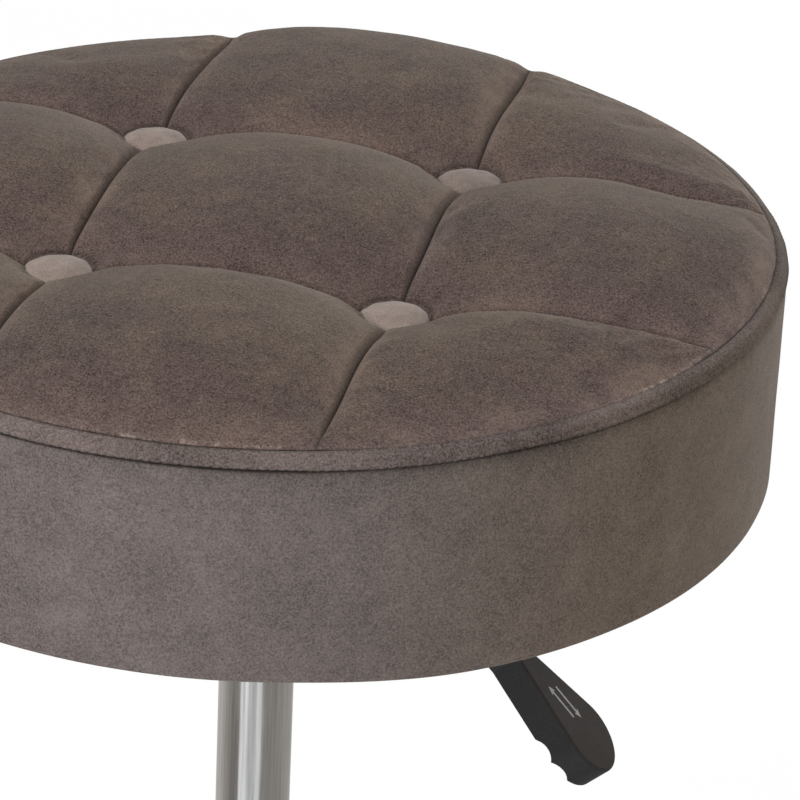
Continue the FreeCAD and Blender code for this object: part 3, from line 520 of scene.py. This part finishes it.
def mark_cloth(piece, folds, seams, painted_sheens=None):
    """Stores, for each point of the cloth, its worn pile with painted highlight on folds, its dark seam lines
    with painted shade, and its painted sheen.
    """
    for name, values in (("fold", folds), ("seam", seams), ("painted_sheen", painted_sheens or [0.0] * len(seams))):
        piece.data.attributes.new(name, "FLOAT", "POINT").data.foreach_set("value", values)


def ripple(x, y, z, scale, seed=0.0):
    """Smooth noise from -1 to 1 at a place, at a scale in features per metre."""
    return noise.noise(Vector((x * scale + seed, y * scale - seed, z * scale + 2 * seed)))


def dress(nodes, material):
    """Gives CAD nodes a better material."""
    for name in nodes:
        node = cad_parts[name]
        for index in range(len(node.material_slots)):
            node.material_slots[index].material = material


# Cushion


def gather(share, pull=0.72):
    """Moves a share from 0 to 1 towards both ends, so that faces crowd where the cloth bends most."""
    return share - pull * math.sin(math.tau * share) / math.tau


def split_cell(value):
    """The panel (-1, 0 or 1) that a grid coordinate from -1 to 1 lies in, and its share across it."""
    cell = max(-1, min(1, math.floor(value * 1.5 + 0.5)))
    return cell, gather(value * 1.5 + 0.5 - cell)


def plan_point(u, v, half, radius):
    """Carries the square grid to the round seat, with the crease lines kept straight."""
    column, across = split_cell(u)
    row, along = split_cell(v)
    if column == -1:
        across = 1 - across
    if row == -1:
        along = 1 - along
    if column == 0 and row == 0:
        return (2 * across - 1) * half, (2 * along - 1) * half
    if row == 0:
        y = (2 * along - 1) * half
        return column * (half + across * (math.sqrt(radius ** 2 - y ** 2) - half)), y
    if column == 0:
        x = (2 * across - 1) * half
        return x, row * (half + along * (math.sqrt(radius ** 2 - x ** 2) - half))
    steep = max(across, along)
    if steep < 1e-9:
        return column * half, row * half
    angle = math.pi / 4 * along / across if across >= along else math.pi / 2 - math.pi / 4 * across / along
    ahead = half * (math.cos(angle) + math.sin(angle))
    reach = math.sqrt(ahead ** 2 + radius ** 2 - 2 * half ** 2) - ahead
    return (column * (half + steep * reach * math.cos(angle)),
            row * (half + steep * reach * math.sin(angle)))


def ease(value, low, high):
    """Smooth step from 0 at low to 1 at high."""
    share = max(0.0, min(1.0, (value - low) / (high - low)))
    return share * share * (3 - 2 * share)


def pillow(share, round_over, lift):
    """Rise of a puffed panel from 0 at its seam to 1 at its middle."""
    share = max(0.0, min(1.0, share))
    return (1 - (1 - share) ** round_over) ** lift


def panel_rise(value, half):
    """Rise across a row of panels: nothing on a crease, full between creases."""
    distance = abs(abs(value) - half)
    return pillow(distance / (half if abs(value) < half else PANEL_REACH), 2.3, 0.62)


def crease_distance(x, y, half):
    """Distance to the nearest crease."""
    return min(abs(abs(x) - half), abs(abs(y) - half))


def button_distance(x, y, half):
    """Distance to the middle of the nearest button."""
    return math.hypot(abs(x) - half, abs(y) - half)


def cushion_height(x, y, seat):
    """Height of the tufted top above the lower seam."""
    half = seat.tuft_half
    rim = seat.radius - seat.band_inset
    radius = min(math.hypot(x, y), rim)
    corner = ease(min(abs(x), abs(y)), half, half + 25 * MM)
    across = panel_rise(x, half)
    along = panel_rise(y, half)
    full = 0.25 * ease(x, 50 * MM, 120 * MM) * ease(y, -110 * MM, -40 * MM)
    inside = pillow((rim - radius) / RIM_REACH, 2.4 - 0.3 * corner, 0.8 + 0.2 * corner - full)
    outward = ease(radius, 60 * MM, 110 * MM)
    crest = seat.centre_crest + (seat.edge_crest - seat.centre_crest) * outward - 1.0 * MM * corner
    rise = seat.crease * (across + along - 2 * across * along) + crest * across * along
    button = button_distance(x, y, half)
    drawn = 1 - 0.75 * math.exp(-(button / BUTTON_REACH) ** 1.6)
    rise = seat.button_pit + (rise - seat.button_pit) * drawn * ease(button, 4 * MM, 20 * MM)
    height = seat.band_rise + (rise - seat.band_rise) * inside - 0.6 * MM * corner
    groove = GROOVE_DEPTH * math.exp(-(crease_distance(x, y, half) / GROOVE_WIDTH) ** 2)
    return height - groove * ease(rim - radius, 0, 12 * MM)


def in_sector(bearing, start, full, until, end):
    """1 in a sector of bearings in degrees, easing to 0 outside it."""
    return ease(bearing, start, full) * ease(-bearing, -end, -until)


def sag(x, y, seat):
    """How much lower the seat lies where its rear has settled and where a rear crease draws it down."""
    bearing = math.degrees(math.atan2(y, x)) % 360
    settled = seat.droop * in_sector(bearing, *REAR_LEFT) + seat.droop_right * in_sector(bearing, *REAR_RIGHT)
    drawn = math.exp(-((abs(x) - seat.tuft_half) / (4.5 * MM)) ** 2) * ease(y, 80 * MM, 130 * MM)
    return settled * ease(math.hypot(x, y), 80 * MM, 150 * MM) + seat.notch * drawn


def wander(x, y, seat):
    """A place with the small uneven shift of the crease lines."""
    fade = ease(seat.radius - seat.band_inset - math.hypot(x, y), 0, 25 * MM)
    to_button = ease(button_distance(x, y, seat.tuft_half), 10 * MM, 35 * MM)
    reach = 1.4 * MM * fade * to_button
    return x + reach * ripple(x, y, 0, 22, 3.1), y + reach * ripple(x, y, 0, 22, 8.7)


def settle_cloth(context, seat):
    """Lets the top's velvet settle over the foam as a cloth held at its seam, creases and buttons.

    The simulation runs on a coarse copy, and the result is how far each point of its grid has moved.
    """
    rim = seat.radius - seat.band_inset
    bm = bmesh.new()
    bmesh.ops.create_grid(bm, x_segments=SETTLING_CELLS, y_segments=SETTLING_CELLS, size=1.0)
    places, cut, held = {}, [], []
    for vert in bm.verts:
        column = round((vert.co.x + 1) / 2 * SETTLING_CELLS)
        row = round((vert.co.y + 1) / 2 * SETTLING_CELLS)
        places[column, row] = vert.index
        x, y = plan_point(vert.co.x, vert.co.y, seat.tuft_half, rim)
        vert.co = (x, y, seat.seam + cushion_height(x, y, seat))
        cut.append(vert.co.copy())
        button = button_distance(x, y, seat.tuft_half)
        free = ease(crease_distance(x, y, seat.tuft_half), 0, 5 * MM) * ease(button, 12 * MM, 20 * MM)
        held.append(1 - free * ease(rim - math.hypot(x, y), 0, 6 * MM))
    coarse = mesh_object("settling", bm)
    group = coarse.vertex_groups.new(name="held")
    for index, weight in enumerate(held):
        group.add([index], weight, "REPLACE")
    cloth = coarse.modifiers.new("cloth", "CLOTH").settings
    cloth.quality = 6
    cloth.mass = 0.3
    cloth.tension_stiffness = 15
    cloth.compression_stiffness = 15
    cloth.shear_stiffness = 5
    cloth.bending_stiffness = 0.3
    cloth.air_damping = 2
    cloth.vertex_group_mass = "held"
    cloth.use_pressure = True
    cloth.uniform_pressure_force = seat.pressure
    cloth.shrink_min = -seat.spare
    cloth.effector_weights.gravity = 0
    for frame_number in range(1, SETTLING_FRAMES + 1):
        context.scene.frame_set(frame_number)
    settled = coarse.evaluated_get(context.evaluated_depsgraph_get()).data
    moves = {}
    for place, index in places.items():
        move = settled.vertices[index].co - cut[index]
        moves[place] = move * min(1.0, seat.most / max(move.length, 1e-9))
    context.scene.frame_set(1)
    bpy.data.meshes.remove(coarse.data)
    return moves


def moved(moves, u, v):
    """How far the settled cloth moved at grid coordinates from -1 to 1."""
    across, along = (u + 1) / 2 * SETTLING_CELLS, (v + 1) / 2 * SETTLING_CELLS
    column, row = min(int(across), SETTLING_CELLS - 1), min(int(along), SETTLING_CELLS - 1)
    near = moves[column, row].lerp(moves[column + 1, row], across - column)
    far = moves[column, row + 1].lerp(moves[column + 1, row + 1], across - column)
    return near.lerp(far, along - row)


def top_marks(x, y, seat):
    """How much dark line and painted shade the top has in its creases and round its buttons, and how much
    painted sheen beside the creases and along the rim, at a place.
    """
    beside = crease_distance(x, y, seat.tuft_half)
    button = button_distance(x, y, seat.tuft_half)
    inward = seat.radius - seat.band_inset - math.hypot(x, y)
    # Painted shade along each crease and round the foot of each button
    line = math.exp(-(beside / (0.5 * MM)) ** 2)
    ring = math.exp(-((button - seat.button_radius) / (0.7 * MM)) ** 2)
    # Painted sheen beside each crease, and along the rim, stronger towards the right
    crease_sheen = ease(beside, 0.6 * MM, 2.2 * MM) * math.exp(-(beside / (7 * MM)) ** 2)
    edge = math.exp(-(inward / (9 * MM)) ** 2) * (0.7 + 0.8 * ease(x, 0, 130 * MM))
    return min(1.0, 0.8 * line + 0.7 * ring), max(crease_sheen * ease(button, 13 * MM, 26 * MM), edge)


def turn_under(bm, seam_shade_layer):
    """Turns the top's cut edge down behind the band and closes it below."""
    border = [edge for edge in bm.edges if edge.is_boundary]
    for drop, tuck in TURNED_EDGE:
        made = bmesh.ops.extrude_edge_only(bm, edges=border)["geom"]
        border = [item for item in made if isinstance(item, bmesh.types.BMEdge)]
        for vert in [item for item in made if isinstance(item, bmesh.types.BMVert)]:
            lip = 0.35 * ripple(*vert.co, 160, 2.9) if tuck < 0 else 0
            scale = 1 - (tuck + lip) * MM / math.hypot(vert.co.x, vert.co.y)
            vert.co.x *= scale
            vert.co.y *= scale
            vert.co.z -= drop * MM
            # Painted shade on the cloth turned under behind the band
            vert[seam_shade_layer] = 0.0 if tuck < 0 else 0.9
    bmesh.ops.contextual_create(bm, geom=border)
    bmesh.ops.recalc_face_normals(bm, faces=bm.faces)


class STOOL_OT_cushion_top(bpy.types.Operator):
    """Build the tufted velvet top"""
    bl_idname = "stool.cushion_top"
    bl_label = "Cushion top"

    def execute(self, context):
        seat = context.scene.stool_cushion
        rim = seat.radius - seat.band_inset
        bm = bmesh.new()
        bmesh.ops.create_grid(bm, x_segments=3 * seat.cells, y_segments=3 * seat.cells, size=1.0)
        seam_shade_layer = bm.verts.layers.float.new("seam")
        sheen_layer = bm.verts.layers.float.new("painted_sheen")
        moves = settle_cloth(context, seat)
        for vert in bm.verts:
            settled = moved(moves, vert.co.x, vert.co.y)
            x, y = plan_point(vert.co.x, vert.co.y, seat.tuft_half, rim)
            inside = ease(rim - math.hypot(x, y), 0, 20 * MM)
            waves = inside * (0.8 * MM * ripple(x, y, 0, 20, 1.3) + 0.3 * MM * ripple(x, y, 0, 60, 5.2))
            height = cushion_height(x, y, seat) - sag(x, y, seat) + waves
            vert[seam_shade_layer], vert[sheen_layer] = top_marks(x, y, seat)
            vert.co = Vector((*wander(x, y, seat), seat.seam + height)) + settled
        turn_under(bm, seam_shade_layer)
        # Worn pile with a painted highlight on the fold at the rim
        folds = [max(0.0, 1 - abs(math.hypot(vert.co.x, vert.co.y) - rim) / (1.0 * MM)) for vert in bm.verts]
        seams = [vert[seam_shade_layer] for vert in bm.verts]
        painted_sheens = [vert[sheen_layer] for vert in bm.verts]
        for name in ("seam", "painted_sheen"):
            bm.verts.layers.float.remove(bm.verts.layers.float[name])
        piece = publish("cushion_top", bm, "seat", velvet("velvet_top", 0.0))
        mark_cloth(piece, folds, seams, painted_sheens)
        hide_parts("top_cover", "foam_pad")
        return {"FINISHED"}


def band_profile(seat):
    """Section of the band: its lower lip, its bulge and its upper edge tucked under the top."""
    low, high = seat.seam, seat.seam + seat.band_rise
    rim = seat.radius - seat.band_inset
    points = [(seat.radius - 2.2 * MM, low + 0.2 * MM), (seat.radius - 0.4 * MM, low - 0.5 * MM),
              (seat.radius + 0.25 * MM, low - 0.15 * MM), (seat.radius + 0.3 * MM, low + 0.5 * MM)]
    for step in range(1, 9):
        share = step / 9.4
        bulge = 0.7 * MM * math.sin(math.pi * min(1.0, share / 0.85))
        points.append((seat.radius - seat.band_inset * share + bulge, low + seat.band_rise * share + bulge))
    return points + [(rim - 0.3 * MM, high - 1.2 * MM), (rim - 1.4 * MM, high - 2.0 * MM),
                     (rim - 2.4 * MM, high - 3.4 * MM)]


class STOOL_OT_side_band(bpy.types.Operator):
    """Build the narrow band between the two seams"""
    bl_idname = "stool.side_band"
    bl_label = "Band"

    def execute(self, context):
        seat = context.scene.stool_cushion
        bm = bmesh.new()
        spin_profile(bm, band_profile(seat), BAND_STEPS)
        folds, seams = [], []
        for vert in bm.verts:
            share = (vert.co.z - seat.seam) / seat.band_rise
            angle = math.atan2(vert.co.y, vert.co.x)
            radius = math.hypot(vert.co.x, vert.co.y)
            edge = max(0.0, 1 - min(abs(share), abs(1 - share)) * 3.5)
            stitch = math.sin(angle * BAND_STITCHES + 3 * ripple(*vert.co, 30))
            waver = 0.5 * MM * ripple(*vert.co, 28, 2.2) + 0.3 * MM * ripple(*vert.co, 95, 6.1)
            drawn = max(0.0, 0.5 + 0.9 * ripple(*vert.co, 17, 4.4))
            push = (0.15 * MM * drawn * edge * stitch + 0.4 * waver) / radius
            vert.co.x *= 1 + push
            vert.co.y *= 1 + push
            vert.co.z += (0.8 * waver + 0.1 * MM * drawn * stitch) * (1 - max(0.0, min(1.0, share)))
            vert.co.z -= sag(vert.co.x, vert.co.y, seat)
            # Worn pile with a painted highlight on the band's lower lip
            folds.append(max(0.0, 1 - abs(share - 0.14) * 5) * 0.4)
            # Dark stitches at the lower seam with painted shade, and painted shade on the band's top under
            # the top's lip
            under = ease(share, 0.12, -0.04) * (0.55 + 0.45 * stitch)
            above = ease(share, 0.8, 0.9) * 0.7
            seams.append(max(under, above))
        piece = publish("side_band", bm, "seat", velvet("velvet_band", 0.5, 0.16))
        mark_cloth(piece, folds, seams)
        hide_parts("border_band")
        return {"FINISHED"}


def side_profile(seat, top, bottom):
    """Section of the side: its hem turned under, its rounded corner and its wall drawn in at the seam."""
    corner = 1.2 * MM
    points = [(seat.radius - 22 * MM, bottom + 0.2 * MM), (seat.radius - 10 * MM, bottom)]
    for step in range(7):
        angle = math.radians(90 * step / 6)
        points.append((seat.radius - corner + corner * math.sin(angle),
                       bottom + corner - corner * math.cos(angle)))
    for step in range(1, 41):
        height = bottom + corner + (top - bottom - corner) * gather(step / 40, 0.6)
        drawn = 1.7 * MM * math.exp(-(top - height) / (1.7 * MM))
        points.append((seat.radius - drawn, height))
    return points + [(seat.radius - 2.6 * MM, top + 0.3 * MM)]


class STOOL_OT_side_wall(bpy.types.Operator):
    """Build the upright velvet side and its turned hem"""
    bl_idname = "stool.side_wall"
    bl_label = "Side"

    def execute(self, context):
        seat = context.scene.stool_cushion
        top = seat.seam - 0.2 * MM
        bottom = seat.underside
        bm = bmesh.new()
        spin_profile(bm, side_profile(seat, top, bottom), SIDE_STEPS)
        seams = []
        for vert in bm.verts:
            radius = math.hypot(vert.co.x, vert.co.y)
            if radius < seat.radius - 6 * MM:
                seams.append(0.0)
                continue
            below = top - vert.co.z
            near = math.exp(-below / (7 * MM))
            pucker = math.sin(math.atan2(vert.co.y, vert.co.x) * SIDE_PUCKERS + 4 * ripple(*vert.co, 20))
            push = 0.45 * MM * ripple(*vert.co, 14, 1.0) + 0.12 * MM * ripple(*vert.co, 45, 3.0)
            push += near * 0.2 * MM * pucker
            vert.co.x *= 1 + push / radius
            vert.co.y *= 1 + push / radius
            bearing = math.degrees(math.atan2(vert.co.y, vert.co.x))
            hanging = seat.hem_drop * in_sector(bearing, *HEM_RIGHT)
            vert.co.z -= sag(vert.co.x, vert.co.y, seat) * ease(below, top - bottom, 0)
            vert.co.z -= hanging * ease(below, 20 * MM, top - bottom)
            # Painted shadow under the band, with the dark seam line where the side tucks under it
            shadow = 0.45 * math.exp(-below / (4 * MM)) * (0.7 + 0.8 * ripple(*vert.co, 40, 7.7))
            seams.append(min(1.0, ease(below, 1.5 * MM, 0.5 * MM) + shadow))
        # Worn pile with a painted highlight on the hem's rounded edge
        folds = [0.5 * math.exp(-((vert.co.z - bottom - 0.6 * MM) / (0.5 * MM)) ** 2) for vert in bm.verts]
        piece = publish("side_wall", bm, "seat", velvet("velvet_side", 1.0))
        mark_cloth(piece, folds, seams)
        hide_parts("side_cover")
        return {"FINISHED"}


class STOOL_OT_buttons(bpy.types.Operator):
    """Build the four covered buttons"""
    bl_idname = "stool.buttons"
    bl_label = "Buttons"

    def execute(self, context):
        seat = context.scene.stool_cushion
        bm = bmesh.new()
        base = BUTTON_BOX[0][2]
        radius = seat.button_radius
        edge = 1.3 * MM
        profile = [(0, base), (radius - 2 * MM, base)]
        for step in range(1, 6):
            angle = math.radians(-90 + 30 * step)
            profile.append((radius - edge + edge * math.cos(angle), base + edge + edge * math.sin(angle)))
        for step in range(1, 15):
            flat = (radius - 1.1 * MM) * (1 - step / 14)
            rise = seat.button_crown * (1 - (flat / (radius - 0.6 * MM)) ** 2.1)
            profile.append((flat, base + seat.button_rim + rise))
        spin_profile(bm, profile, BUTTON_STEPS)
        for vert in bm.verts:
            around = math.atan2(vert.co.y, vert.co.x)
            outward = (math.hypot(vert.co.x, vert.co.y) / radius) ** 4
            vert.co.z += 0.12 * MM * outward * math.sin(9 * around) * (vert.co.z > base + edge)
        one = bm.copy()
        bmesh.ops.delete(bm, geom=bm.verts, context="VERTS")
        for index, (x, y) in enumerate(((-1, -1), (-1, 1), (1, -1), (1, 1))):
            mesh = bpy.data.meshes.new("button")
            one.to_mesh(mesh)
            mesh.transform(Matrix.Translation((x * seat.tuft_half, y * seat.tuft_half, 0))
                           @ Matrix.Rotation(0.8 * index, 4, "Z"))
            bm.from_mesh(mesh)
            bpy.data.meshes.remove(mesh)
        one.free()
        piece = publish("covered_buttons", bm, "seat", button_cloth())
        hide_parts("tuft_buttons")
        return {"FINISHED"}


class STOOL_OT_dust_cloth(bpy.types.Operator):
    """Build the thin cloth under the board"""
    bl_idname = "stool.dust_cloth"
    bl_label = "Dust cloth"

    def execute(self, context):
        bm = bmesh.new()
        low, high = DUST_BOX[0][2], DUST_BOX[1][2]
        radius = DUST_BOX[1][0]
        rings = [(radius * share / 12, low) for share in range(13)]
        spin_profile(bm, rings + [(radius, high), (0, high)], DUST_STEPS)
        for vert in bm.verts:
            spot = math.hypot(vert.co.x, vert.co.y) / radius
            if vert.co.z < (low + high) / 2:
                vert.co.z -= 0.5 * MM * max(0.0, spot - 0.62) * 3 * (1 - spot) * (1 + ripple(*vert.co, 30))
        piece = publish("underside_cloth", bm, "seat", dust_cloth())
        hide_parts("dust_cover")
        return {"FINISHED"}


class STOOL_OT_hard_parts(bpy.types.Operator):
    """Give the metal and plastic parts their finishes"""
    bl_idname = "stool.hard_parts"
    bl_label = "Hard parts"

    def execute(self, context):
        metal = context.scene.stool_metal
        dress(["pressure_tube", "outer_tube"], steel("brushed_tube", metal.steel, (1.0, 1.0, 0.03), 0.13))
        dress(["base_cover", "column_skirt"], steel("brushed_cover", metal.steel, (0.4, 0.4, 1.0), 0.33))
        dress(["base_hub", "seat_plate", "lever_bracket", "taper_socket"], paint())
        dress(["hub_bolts", "tube_end_plate", "rod_clip", "piston", "inner_cylinder", "plate_bolts",
               "plate_washers", "tee_nuts", "cover_staples", "cord_anchors", "pivot_shaft", "pivot_clips",
               "valve_finger", "lever_arm", "handle_screw"], zinc())
        dress(["lower_race", "thrust_balls", "upper_race", "piston_rod"],
              steel("bearing_steel", (0.7, 0.7, 0.72), (1.0, 1.0, 1.0), 0.15))
        dress(["guide_bush", "thrust_cage", "rod_guide"],
              plastic("bush_plastic", (0.02, 0.02, 0.021), 0.05, 0.45))
        dress(["floor_pads", "bump_stop", "piston_ring", "rod_seal"], rubber())
        dress(["base_weight"], cast_iron())
        dress(["seat_board"], plywood())
        dress(["valve_body", "valve_pin"], brass())
        dress(["tuft_cords"], twine())
        dress(["lever_handle"], plastic("handle_plastic", metal.plastic, 0.12, 0.6, metal.handle_painted_reflection))
        return {"FINISHED"}


class STOOL_OT_handle_mark(bpy.types.Operator):
    """Print a plain up and down arrow on the handle"""
    bl_idname = "stool.handle_mark"
    bl_label = "Handle mark"

    def execute(self, context):
        handle = context.scene.stool_handle
        bm = bmesh.new()
        for side in (-1, 1):
            shaft = bmesh.ops.create_grid(bm, x_segments=1, y_segments=1, size=0.5)["verts"]
            bmesh.ops.transform(bm, verts=shaft, matrix=Matrix.Translation((0, side * handle.mark_apart, 0))
                                @ Matrix.Diagonal((handle.mark_length * 0.62, handle.mark_line, 1, 1)))
            head = bmesh.ops.create_circle(bm, cap_ends=True, segments=3, radius=handle.mark_head)["verts"]
            tip = Matrix.Translation((side * handle.mark_length * 0.36, side * handle.mark_apart, 0))
            bmesh.ops.transform(bm, verts=head, matrix=tip @ Matrix.Rotation(-side * math.pi / 2, 4, "Z"))
        bmesh.ops.solidify(bm, geom=bm.faces[:], thickness=handle.mark_ink)
        bmesh.ops.recalc_face_normals(bm, faces=bm.faces)
        pivot = (SHAFT_BOX[0][0] + SHAFT_RADIUS, handle.middle, SHAFT_BOX[0][2] + SHAFT_RADIUS)
        place = (Matrix.Translation(pivot) @ Matrix.Rotation(handle.slope, 4, "Y")
                 @ Matrix.Translation((handle.mark_reach, 0.5 * MM, handle.thickness / 2 + 0.02 * MM)))
        bmesh.ops.transform(bm, verts=bm.verts, matrix=place)
        tint = context.scene.stool_metal.mark
        ink = Shader("mark_ink")
        worn = ink.ramp(ink.noise(900, 3.0), 0.25, 0.55)
        tone = ink.mix(worn, tinted(tint, 0.7), tint)
        publish("handle_mark", bm, "lever", ink.finish(base_color=tone, roughness=0.6),
                smooth=False)
        return {"FINISHED"}


# Studio


def area_light(name, place, aim, size, power):
    """A soft rectangular lamp that faces a point."""
    data = bpy.data.lights.new(name, "AREA")
    data.shape = "RECTANGLE"
    data.size, data.size_y = size
    data.energy = power
    lamp = link_object(name, data)
    lamp.location = place
    lamp.rotation_euler = (Vector(aim) - Vector(place)).to_track_quat("-Z", "Y").to_euler()


def floor_material(toward_camera):
    """Pale floor: white to the camera, takes the shadow, and shows metal a ring of light and dark cards.

    toward_camera is the bearing of the camera from the column.
    """
    shade = Shader("studio_floor")
    tone = shade.mix(shade.noise(4.0, 2.0), (0.86, 0.86, 0.86), (0.9, 0.9, 0.9))
    diffuse = shade.add("BsdfDiffuse", {"Color": tone})
    place = shade.add("SeparateXYZ", {"Vector": shade.coords}).outputs
    bearing = shade.math("ARCTAN2", place["Y"], place["X"])
    turns = shade.math("ADD", shade.math("DIVIDE", bearing, math.tau), 1.5 - toward_camera / math.tau)
    ramp = shade.add("ValToRGB", {"Fac": shade.math("FRACT", turns)})
    elements = ramp.color_ramp.elements
    elements[1].position = 1.0
    elements[1].color = END_CARD
    elements[0].color = END_CARD
    for position, level in CARDS:
        cool = 0.04 if level > 0.7 else -0.03
        elements.new(position).color = (level * (1 - cool), level, level * (1 + cool), 1)
    path = shade.add("LightPath").outputs
    seen = shade.mix(path["Is Camera Ray"], ramp.outputs["Color"], (1.0, 1.0, 1.0))
    shown = shade.add("Emission", {"Color": seen, "Strength": 1.03})
    direct = shade.math("MAXIMUM", shade.math("MULTIPLY", path["Is Camera Ray"], 0.88), path["Is Glossy Ray"])
    mixed = shade.add("MixShader", {0: direct, 1: diffuse.outputs[0], 2: shown.outputs[0]})
    shade.tree.links.new(mixed.outputs[0], shade.output.inputs["Surface"])
    return shade.material


def studio_world(level):
    """Even white surroundings, seen as white and lighting at a lower level."""
    world = bpy.data.worlds.new("studio_world")
    bpy.context.scene.world = world
    world.use_nodes = True
    tree = world.node_tree
    tree.nodes.clear()
    output = tree.nodes.new("ShaderNodeOutputWorld")
    background = tree.nodes.new("ShaderNodeBackground")
    path = tree.nodes.new("ShaderNodeLightPath")
    strength = tree.nodes.new("ShaderNodeMapRange")
    tree.links.new(path.outputs["Is Camera Ray"], strength.inputs["Value"])
    strength.inputs["To Min"].default_value = level
    strength.inputs["To Max"].default_value = 1.0
    tree.links.new(strength.outputs["Result"], background.inputs["Strength"])
    background.inputs["Color"].default_value = (1, 1, 1, 1)
    tree.links.new(background.outputs[0], output.inputs["Surface"])


class STOOL_OT_stage(bpy.types.Operator):
    """Build the floor, the lamps and the camera"""
    bl_idname = "stool.stage"
    bl_label = "Stage"

    def execute(self, context):
        scene = context.scene
        stage = scene.stool_stage
        aim = Vector((0, 0, scene.stool_cushion.seam))
        bm = bmesh.new()
        bmesh.ops.create_grid(bm, x_segments=1, y_segments=1, size=30.0)
        floor = mesh_object("studio_floor", bm)
        floor.data.materials.append(floor_material(stage.azimuth - math.pi / 2))
        studio_world(level=0.45)
        for name, place, size, power in LAMPS:
            area_light(name, place, aim, size, power)
        camera = bpy.data.cameras.new("camera")
        camera.lens = stage.lens
        camera.sensor_width = 36.0
        camera.clip_end = 100.0
        body = link_object("camera", camera)
        turn = (Matrix.Rotation(stage.azimuth, 4, "Z") @ Matrix.Rotation(math.pi / 2 - stage.pitch, 4, "X")
                @ Matrix.Rotation(stage.roll, 4, "Z"))
        pixel = stage.distance * camera.sensor_width / stage.lens / PHOTO_SIDE
        offset = Vector(((stage.seat_x - PHOTO_SIDE / 2) * pixel, (PHOTO_SIDE / 2 - stage.seat_y) * pixel,
                         -stage.distance))
        body.matrix_world = Matrix.Translation(aim - turn.to_3x3() @ offset) @ turn
        scene.camera = body
        scene.view_settings.view_transform = "Standard"
        return {"FINISHED"}


class STOOL_PT_panel(bpy.types.Panel):
    """Lists the stool's pieces"""
    bl_idname = "STOOL_PT_panel"
    bl_label = "Vanity stool"
    bl_space_type = "VIEW_3D"
    bl_region_type = "UI"
    bl_category = "Stool"

    def draw(self, context):
        for operator in OPERATORS:
            self.layout.operator(operator.bl_idname)


OPERATORS = [STOOL_OT_cushion_top, STOOL_OT_side_band, STOOL_OT_side_wall, STOOL_OT_buttons,
             STOOL_OT_dust_cloth, STOOL_OT_hard_parts, STOOL_OT_handle_mark, STOOL_OT_stage]
SETTINGS = {"stool_cushion": StoolCushionSettings, "stool_cloth": StoolClothSettings,
            "stool_metal": StoolMetalSettings, "stool_handle": StoolHandleSettings,
            "stool_stage": StoolStageSettings}


def register():
    """Adds the classes and the scene's settings."""
    for group in SETTINGS.values():
        bpy.utils.register_class(group)
    for operator in OPERATORS + [STOOL_PT_panel]:
        bpy.utils.register_class(operator)
    for name, group in SETTINGS.items():
        setattr(bpy.types.Scene, name, PointerProperty(type=group))


def unregister():
    """Takes the classes and settings away again."""
    for name in SETTINGS:
        delattr(bpy.types.Scene, name)
    for group in [STOOL_PT_panel] + OPERATORS[::-1] + list(SETTINGS.values())[::-1]:
        bpy.utils.unregister_class(group)


def main():
    """Builds every piece."""
    register()
    for operator in OPERATORS:
        group, action = operator.bl_idname.split(".")
        getattr(getattr(bpy.ops, group), action)()


if __name__ == "__main__":
    main()
